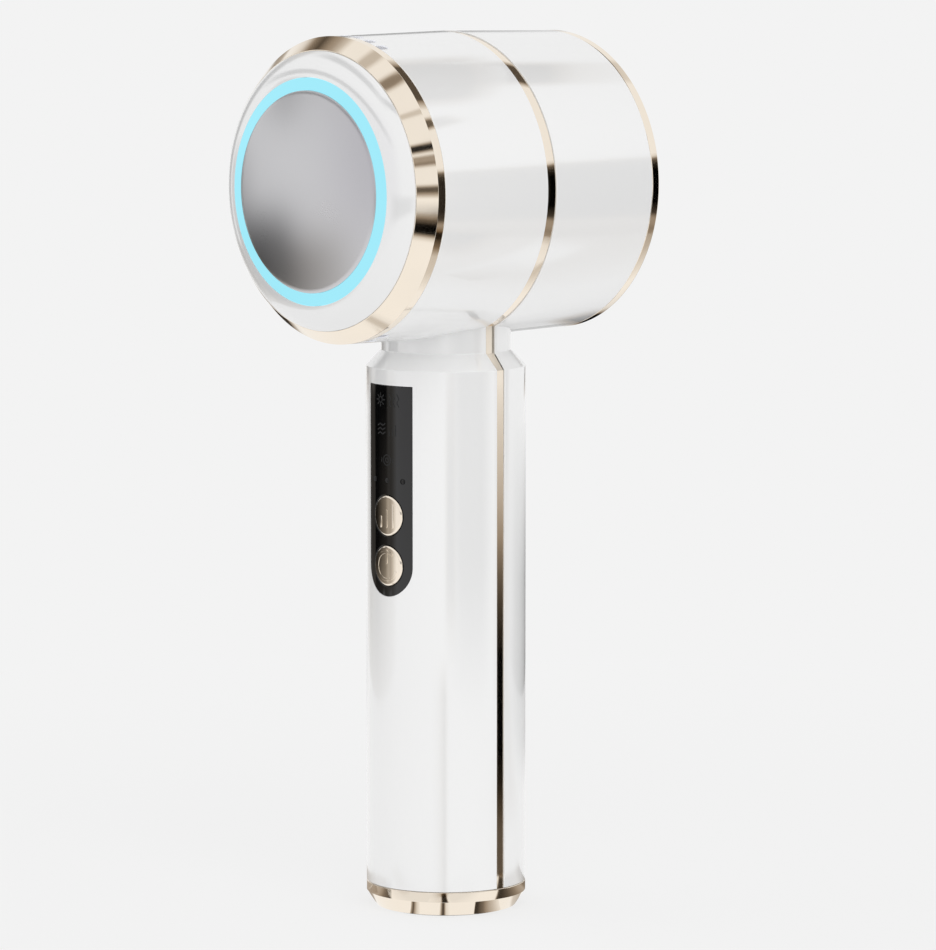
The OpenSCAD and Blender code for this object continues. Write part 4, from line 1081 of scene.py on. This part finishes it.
def rods_z(name, low, high, r):
    """Two rods along Z, at the places of the base's screws."""
    rod = [(0, low), (r, low), (r, high), (0, high)]
    return merged(name, [turned(name, rod, "Z", (x, 0, 0), 48) for x in BASE_SPOTS])


def socket_outline(grow, steps=16):
    """The charging socket's outline with its round ends, in x and y."""
    r = SOCKET_R + grow
    half = SOCKET_HALF - SOCKET_R
    right = [-math.pi / 2 + math.pi * i / steps for i in range(steps + 1)]
    return [(half + r * math.cos(a), SOCKET_Y + r * math.sin(a)) for a in right] + [
        (-half - r * math.cos(a), SOCKET_Y - r * math.sin(a)) for a in right
    ]


base = combined(base, rods_z("posts", 2.2, 8, 2.2), "UNION")
base = combined(base, turned("seat", [(0, -1), (13.95, -1), (13.95, 1), (0, 1)], "Z",
                             (0, 0, 0), DRUM_STEPS))
base = combined(base, prism("mouth", socket_outline(0.15), "Z", -1, 4))
base = combined(base, rods_z("bores", -1, 9, 1.15))
base = combined(base, rods_z("heads", -1, 2.1, 1.95))
done(base, champagne, "root", "champagne_metal", "base_cap")

# ---------- Base pad ----------
# A disc of dark grey rubber, moulded with a softened edge and glued into the base cap. It hides
# the cap's two screws and has an opening for the charging socket.
rubber = finish("rubber", (0.045, 0.045, 0.048), 0.72, 0.12, 0.12, 5.0, 0.02,
                tint=(0.06, 0.06, 0.063), Specular_IOR_Level=0.35)
pad = turned("pad", rounded([(0, 0), (13.9, 0, 0.2), (13.9, 1), (0, 1)]), "Z", (0, 0, 0),
             HANDLE_STEPS)
pad = combined(pad, prism("mouth", socket_outline(0.6), "Z", -1, 4))
done(pad, rubber, "root", "rubber_pad", "base_pad")

# ---------- Charging socket ----------
# A drawn shell of bright plated steel with round ends, fixed to the charge board. The tongue in
# it carries the contacts.
steel = finish("bright_steel", (0.58, 0.58, 0.59), 0.22, 0.1, 0.15, 4.0, 0.001, 1.0,
               (0.5, 0.5, 0.52))
socket = prism("socket", socket_outline(0), "Z", 0.8, 8)
socket = eased(socket, 0.1, lambda a, b: max(a.z, b.z) < 0.81)
socket = combined(socket, prism("bore", socket_outline(-0.3), "Z", -0.2, 7))
done(socket, steel, "root", "bright_steel", "usb_socket")

# ---------- Screws and battery tabs ----------
# Plated steel screws hold the shells, the boards, the plate's carrier, the chassis and the base.
# Two bright tabs of steel strip are welded to the ends of the cell.
dressed(steel, *[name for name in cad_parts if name.endswith("_screws")], "battery_tabs")

# ---------- Floor and surroundings ----------
# A pale floor that runs out into equally pale surroundings. Near the device it takes a faint
# shadow; the camera, metal and glass see the rest of it as one even pale grey.
PALE = 0.896
FLOOR_COLOUR = (0.93, 0.93, 0.93, 1)
SKY_LIGHT = 0.72
SHADOW_SHARE = 0.16
SHADOW_REACH = 0.35
FLOOR_GLOW = 0.75
MIRROR_GLOW = 0.94


def seen_directly(tree):
    """1 for rays from the camera, from gloss and through glass, and 0 for what lights matt skin."""
    path = node(tree, "LightPath").outputs
    seen = math_node(tree, "ADD", path["Is Camera Ray"], path["Is Glossy Ray"])
    return math_node(tree, "ADD", seen, path["Is Transmission Ray"], clamp=True)


bpy.ops.object.select_all(action="DESELECT")
bpy.ops.mesh.primitive_plane_add(size=40)
floor = bpy.context.object
floor.name = "floor"
floor_finish = bpy.data.materials.new("floor")
floor_finish.use_nodes = True
tree = floor_finish.node_tree
tree.nodes.remove(tree.nodes["Principled BSDF"])
matt = node(tree, "BsdfDiffuse", {"Color": FLOOR_COLOUR}).outputs["BSDF"]
glow = node(tree, "Emission", {"Color": (1, 1, 1, 1), "Strength": PALE}).outputs["Emission"]
bright = node(tree, "Emission", {"Color": (1, 1, 1, 1), "Strength": MIRROR_GLOW}).outputs[0]
spot = node(tree, "TexCoord").outputs["Object"]
away = node(tree, "VectorMath", {0: spot}, operation="LENGTH").outputs["Value"]
share = node(tree, "MapRange", {0: away, 1: SHADOW_REACH * 0.25, 2: SHADOW_REACH,
                                3: SHADOW_SHARE, 4: 0.0}, interpolation_type="SMOOTHSTEP")
pale = node(tree, "MixShader", {0: share.outputs[0], 1: glow, 2: matt}).outputs[0]
bounce = node(tree, "MixShader", {0: FLOOR_GLOW, 1: matt, 2: bright}).outputs[0]
whole = node(tree, "MixShader", {0: seen_directly(tree), 1: bounce, 2: pale}).outputs[0]
mirrored = node(tree, "LightPath").outputs["Is Glossy Ray"]
whole = node(tree, "MixShader", {0: mirrored, 1: whole, 2: bright}).outputs[0]
tree.links.new(whole, tree.nodes["Material Output"].inputs["Surface"])
floor.data.materials.append(floor_finish)

world = bpy.data.worlds.new("studio")
bpy.context.scene.world = world
world.use_nodes = True
tree = world.node_tree
sky = tree.nodes["Background"]
sky.inputs["Color"].default_value = (SKY_LIGHT, SKY_LIGHT, SKY_LIGHT, 1)
pale = node(tree, "Background", {"Color": (PALE, PALE, PALE, 1)}).outputs[0]
whole = node(tree, "MixShader", {0: seen_directly(tree), 1: sky.outputs[0], 2: pale}).outputs[0]
tree.links.new(whole, tree.nodes["World Output"].inputs["Surface"])

# ---------- Lamps ----------
# Two large soft boxes: the key beyond the camera's right shoulder and a weaker fill on the left.
# Their outlines don't show in the gloss, because the cards below shape the reflections.


def direction(azimuth, elevation):
    """Azimuth 0 looks along -Y and 90 along +X, in degrees."""
    a, e = math.radians(azimuth), math.radians(elevation)
    return Vector((math.sin(a) * math.cos(e), -math.cos(a) * math.cos(e), math.sin(e)))


LAMP_REACH = 1.6
LAMP_SIZE = 1.3
for name, azimuth, elevation, watts in (("key_lamp", 62, 38, 7.6), ("fill_lamp", -55, 30, 3.0)):
    way = direction(azimuth, elevation)
    bpy.ops.object.light_add(type="AREA", location=way * LAMP_REACH + Vector((0, 0, 0.09)),
                             rotation=way.to_track_quat("Z", "Y").to_euler())
    lamp = bpy.context.object
    lamp.name = name
    lamp.data.size = LAMP_SIZE
    lamp.data.energy = watts
    lamp.visible_glossy = False

# ---------- Studio cards ----------
# Black, grey and a few pale cards with soft edges stand round the device, out of sight. The
# polished metal and the gloss show them as bands, as in a photographer's light tent. A few are
# only seen by the surfaces near them.


def opacity(tree, value, stops):
    """How opaque a card is along one of its sides: (place from 0 to 1, opacity) pairs."""
    ramp = node(tree, "ValToRGB", {0: value})
    while len(ramp.color_ramp.elements) < len(stops):
        ramp.color_ramp.elements.new(1.0)
    for stop, (place, opaque) in zip(ramp.color_ramp.elements, stops):
        stop.position = place
        stop.color = (opaque, opaque, opaque, 1)
    return ramp.outputs[0]


SOFT = [(0, 0), (0.3, 1), (0.7, 1), (1, 0)]
BLACK = (0, 0, 0, 1)
WARM = (0.12, 0.065, 0.02, 1)
WARM_HAZE = (1, 0.93, 0.82, 1)
DUSK = (0.05, 0.032, 0.016, 1)


def card(name, at, turn, width, height, across=SOFT, up=SOFT, strength=1.0, colour=BLACK,
         fringe=WARM, nearer=None):
    """A card of width by height, its middle at one place in millimetres. Turn is its rotation.
    It only shows in reflections. Seen from the device, across runs from left to right, and where
    the card thins out its colour leans to the fringe's. With nearer, only surfaces within that
    distance show it."""
    bpy.ops.object.select_all(action="DESELECT")
    bpy.ops.mesh.primitive_plane_add(size=1, location=Vector(at) * MM, rotation=turn)
    plane = bpy.context.object
    plane.name = name
    plane.scale = (width * MM, height * MM, 1)
    material = bpy.data.materials.new(name)
    material.use_nodes = True
    tree = material.node_tree
    tree.nodes.remove(tree.nodes["Principled BSDF"])
    spot = object_xyz(tree)
    cover = math_node(
        tree, "MULTIPLY",
        opacity(tree, math_node(tree, "ADD", spot["X"], 0.5), across),
        opacity(tree, math_node(tree, "ADD", spot["Y"], 0.5), up),
    )
    cover = math_node(tree, "MULTIPLY", cover, strength)
    if nearer:
        way_off = node(tree, "LightPath").outputs["Ray Length"]
        close = math_node(tree, "LESS_THAN", way_off, nearer * MM)
        cover = math_node(tree, "MULTIPLY", cover, close)
    haze = mixed(tree, cover, (1, 1, 1, 1), WARM_HAZE if fringe in (WARM, DUSK) else (1, 1, 1, 1))
    clear = node(tree, "BsdfTransparent", {"Color": haze}).outputs[0]
    thin = math_node(tree, "MULTIPLY", math_node(tree, "SUBTRACT", 1.0, cover), 4.0, clamp=True)
    paint = mixed(tree, thin, colour, fringe)
    flat = node(tree, "Emission", {"Color": paint, "Strength": 1.0}).outputs[0]
    whole = node(tree, "MixShader", {0: cover, 1: clear, 2: flat}).outputs[0]
    tree.links.new(whole, tree.nodes["Material Output"].inputs["Surface"])
    plane.data.materials.append(material)
    plane.visible_camera = False
    plane.visible_diffuse = False
    plane.visible_transmission = False
    plane.visible_shadow = False


def facing(azimuth, elevation=0):
    """The turn of a card that faces the device from that direction."""
    return (-direction(azimuth, elevation)).to_track_quat("Z", "Y").to_euler()


def aimed(name, start, azimuth, elevation, reach, width, height, *how, **more):
    """A card that faces the start point from that direction and distance."""
    at = Vector(start) + direction(azimuth, elevation) * reach
    card(name, at, facing(azimuth, elevation), width, height, *how, **more)


def laid(name, azimuth, reach, width, length, *how, height=0.5, **more):
    """A card that lies on the floor, at that distance from the handle's axis."""
    at = direction(azimuth, 0) * reach + Vector((0, 0, height))
    card(name, at, (0, 0, math.radians(azimuth + 180)), width, length, *how, **more)


def on_slope(degrees):
    """A place on the bezel's slope, by its angle from the top of the drum."""
    a = math.radians(degrees)
    return 30.5 * math.sin(a), -33.8, HEAD_Z + 30.5 * math.cos(a)


EDGED = [(0, 0), (0.2, 1), (0.8, 1), (1, 0)]
LILAC = (0.56, 0.535, 0.595, 1)
WHITE = (PALE, PALE, PALE, 1)
DOME_SPOT = (0, -39, HEAD_Z)
NOSE_SPOT = (0, -36, HEAD_Z)
NEAR = [(0, 1), (0.8, 1), (1, 0)]
card("rear_card", (219, 206, 112), facing(137), 170, 226,
     [(0, 0), (0.2, 1), (0.64, 1), (0.72, 0.985), (0.8, 0.985), (1, 0)],
     [(0, 0.72), (0.085, 0.8), (0.155, 0.74), (0.225, 0.75), (0.26, 0.86), (0.29, 0.965),
      (0.36, 0.985), (0.42, 1), (0.5, 1), (0.8, 1), (0.87, 0.985), (0.91, 0.93),
      (0.935, 0.85), (0.95, 0.5), (0.965, 0.2), (1, 0)])
laid("rear_floor_card", 140, 200, 160, 200, SOFT, [(0, 0), (0.25, 0.35), (0.6, 0.44), (1, 0.58)])
card("leg_card", (47.7, 29.9, 54), facing(134), 15, 112, EDGED,
     [(0, 0.92), (0.12, 0.93), (0.2, 0.985), (0.26, 1), (0.457, 1), (0.507, 0.985),
      (0.557, 0.96), (0.612, 0.91), (0.667, 0.81), (0.717, 0.68), (0.772, 0.52), (0.827, 0.4),
      (0.887, 0.28), (0.937, 0.18), (0.97, 0.1), (1, 0)], nearer=78)
card("leg_pale_card", (50, 32.3, 76), facing(134), 18, 102, EDGED,
     [(0, 0), (0.15, 1), (0.85, 1), (0.93, 0.85), (1, 0)], colour=WHITE, fringe=WHITE, nearer=82)
card("overhead_card", (24, 17, 230), (0, 0, 0), 64, 54, EDGED, EDGED, 0.93)
card("overhead_rear_card", (19, 62, 230), (0, 0, 0), 32, 76, EDGED,
     [(0, 0), (0.12, 0.93), (0.5, 0.93), (0.62, 0.4), (0.9, 0.15), (1, 0)])
aimed("bar_1", on_slope(70), 54, 26.5, 250, 80, 34)
aimed("bar_2", on_slope(76), 55, 18.5, 250, 80, 38, SOFT,
      [(0, 0), (0.3, 0.86), (0.55, 0.66), (0.8, 0.72), (1, 0)])
aimed("bar_3", on_slope(86), 56, 0, 250, 80, 42, SOFT,
      [(0, 0), (0.3, 0.65), (0.5, 0.93), (0.75, 0.93), (1, 0)])
aimed("bar_4", on_slope(100), 56, -21.5, 250, 90, 90, SOFT,
      [(0, 0), (0.13, 0.3), (0.2, 0.75), (0.28, 1), (0.55, 1), (0.72, 0.88), (0.87, 0.5), (1, 0)])
aimed("bar_5", on_slope(39.5), 16, 69, 150, 34, 30, SOFT, SOFT, 0.8)
aimed("bar_6", on_slope(56), 46, 48, 200, 60, 18, SOFT, SOFT, 0.35)
aimed("bar_7", on_slope(25), -54, 71, 150, 36, 30, SOFT, SOFT, 0.42)
aimed("bar_8", on_slope(-3), -100, 38, 200, 100, 160, SOFT,
      [(0, 0), (0.2, 0.28), (0.35, 0.8), (0.49, 0.93), (0.59, 0.83), (0.736, 0.67),
       (0.874, 0.4), (1, 0)])
aimed("bar_9", on_slope(-31), -119, 10, 200, 56, 40, SOFT, SOFT, 0.6)
aimed("bar_10", on_slope(-156), -123, -11, 60, 27, 25, SOFT,
      [(0, 0), (0.3, 0.97), (0.72, 0.97), (0.86, 0.35), (1, 0)])
aimed("bar_11", (27.7, -31, 170.5), 145, 34, 60, 14, 10, SOFT, SOFT, 0.9)
aimed("bar_12", (31.3, -31, 147.8), 140, -29, 60, 24, 22, SOFT,
      [(0, 0), (0.3, 0.8), (0.6, 0.98), (0.78, 0.98), (1, 0)])
aimed("bar_13", (13, 31, 125), -141, -25, 30, 19, 17, SOFT, SOFT, 1.0, nearer=45)
card("bar_14", (-13.6, -51.1, 0.6), (0, 0, math.radians(120)), 16, 40, SOFT, SOFT, 0.3)
aimed("bar_15", (6, -31, 123), -133, -10, 200, 60, 26, SOFT, SOFT, 0.5)
aimed("dome_low_card", DOME_SPOT, -68, -14, 220, 140, 70, [(0, 0), (0.12, 1), (0.8, 1), (1, 0)],
      SOFT, 0.97, fringe=BLACK)
for name, start, azimuth, elevation, reach, width, height, strength in (
    ("dome_left_card", DOME_SPOT, -78, -3, 220, 70, 70, 0.7),
    ("dome_high_card", DOME_SPOT, -58, 15, 220, 60, 46, 0.62),
    ("nose_card_1", NOSE_SPOT, -38, 26, 300, 620, 50, 1.0),
    ("nose_card_2", NOSE_SPOT, -34, 56, 300, 420, 70, 1.0),
    ("nose_card_3", NOSE_SPOT, -96, 10, 300, 110, 420, 0.8),
    ("nose_card_4", NOSE_SPOT, 26, 50, 300, 150, 48, 1.0),
    ("nose_card_5", NOSE_SPOT, 20, -8, 300, 420, 70, 0.6),
    ("far_left_card", (0, 0, 228), -127, 0, 300, 170, 66, 0.68),
):
    aimed(name, start, azimuth, elevation, reach, width, height, strength=strength, fringe=BLACK)
aimed("left_card", (0, 0, 47.5), -65, 0, 300, 520, 95,
      [(0, 0), (0.04, 0), (0.1, 0.25), (0.15, 0.5), (0.195, 0.66), (0.256, 0.64), (0.31, 0.84),
       (0.38, 0.9), (0.43, 0.945), (0.49, 0.985), (0.57, 1), (0.6, 0.8), (0.65, 0.84),
       (0.8, 0.62), (0.87, 0.3), (0.95, 0.34), (1, 0.2)],
      [(0, 0.45), (0.2, 0.8), (0.4, 1), (0.6, 1), (0.85, 1), (1, 0)], fringe=DUSK)
aimed("right_card", (0, 0, 62), 84, 0, 300, 420, 128, SOFT, SOFT, 0.95, fringe=BLACK)
for i, azimuth in enumerate((56, 66, 76)):
    aimed(f"neck_card_{i + 1}", (0, 0, 88), azimuth, 0, 290, 18, 60, SOFT, SOFT, 0.3,
          fringe=BLACK)
aimed("back_card", (0, 0, 20), -172, 0, 300, 620, 110, SOFT, [(0, 1), (0.6, 1), (1, 0)], 0.75,
      fringe=BLACK)
laid("back_floor_card", -165, 270, 640, 240,
     [(0, 0.2), (0.25, 0.35), (0.4, 0.8), (0.8, 0.8), (1, 0)], SOFT, 0.45, fringe=BLACK)
laid("base_left_card", -41.5, 38, 26, 28,
     [(0, 0), (0.03, 0.95), (0.28, 0.85), (0.5, 0.62), (0.95, 0.5), (1, 0)], NEAR)
laid("base_far_left_card", -86, 35, 42, 26, [(0, 0.6), (0.4, 0.62), (0.8, 0.45), (1, 0.3)], NEAR)
laid("base_right_card", 138, 38, 50, 38,
     [(0, 0.85), (0.19, 0.82), (0.27, 0.62), (0.38, 0.68), (0.479, 0.8), (0.566, 0.862),
      (0.656, 0.92), (0.74, 0.955), (0.8, 0.97), (0.84, 0.93), (0.86, 0)], NEAR)
for name, azimuth, reach, width, length, across in (
    ("chamfer_right_card", 84.3, 16.6, 8, 4,
     [(0, 0.1), (0.245, 0.38), (0.45, 0.6), (0.65, 0.86), (0.85, 0.965), (0.93, 0.97),
      (0.955, 0)]),
    ("chamfer_left_card", 20, 16.6, 2.6, 4,
     [(0, 0), (0.35, 0.3), (0.7, 0.95), (0.9, 0.7), (1, 0)]),
    ("chamfer_line_card", 45.6, 16.6, 2.4, 4,
     [(0, 0), (0.35, 0.2), (0.55, 0.95), (0.75, 0.9), (1, 0)]),
    ("chamfer_end_card", 131, 18.8, 9, 9, [(0, 0.5), (0.3, 0.5), (0.8, 0.35), (1, 0)]),
    ("chamfer_start_card", -55, 18.8, 9, 9, [(0, 0), (0.2, 0.6), (0.7, 0.7), (1, 0.6)]),
):
    laid(name, azimuth, reach, width, length, across, [(0, 1), (0.95, 1), (1, 0)], height=0.1)
laid("base_pale_card", 28, 38, 110, 34, EDGED, SOFT, 0.13, fringe=BLACK)
STRIPE = [(0, 0), (0.1, 0.3), (0.24, 0.95), (0.34, 0.75), (0.5, 0.35), (0.7, 0.15), (1, 0)]
aimed("stripe_card", (0, 0, 25), 40, 0, 42, 15, 54, STRIPE, [(0, 1), (0.85, 1), (1, 0)])
laid("base_stripe_card", 40, 38, 14, 20,
     [(0, 0), (0.1, 0), (0.16, 0.98), (0.38, 0.98), (0.45, 0.15), (0.7, 0.08), (1, 0)],
     [(0, 1), (0.9, 1), (1, 0)])
aimed("soft_card", (0, -39, HEAD_Z), -12, 8, 400, 480, 420, SOFT, SOFT, 0.58, colour=LILAC,
      fringe=LILAC)
bpy.context.scene.view_settings.view_transform = "Standard"

# ---------- Last update of the scene ---
bpy.context.view_layer.update()
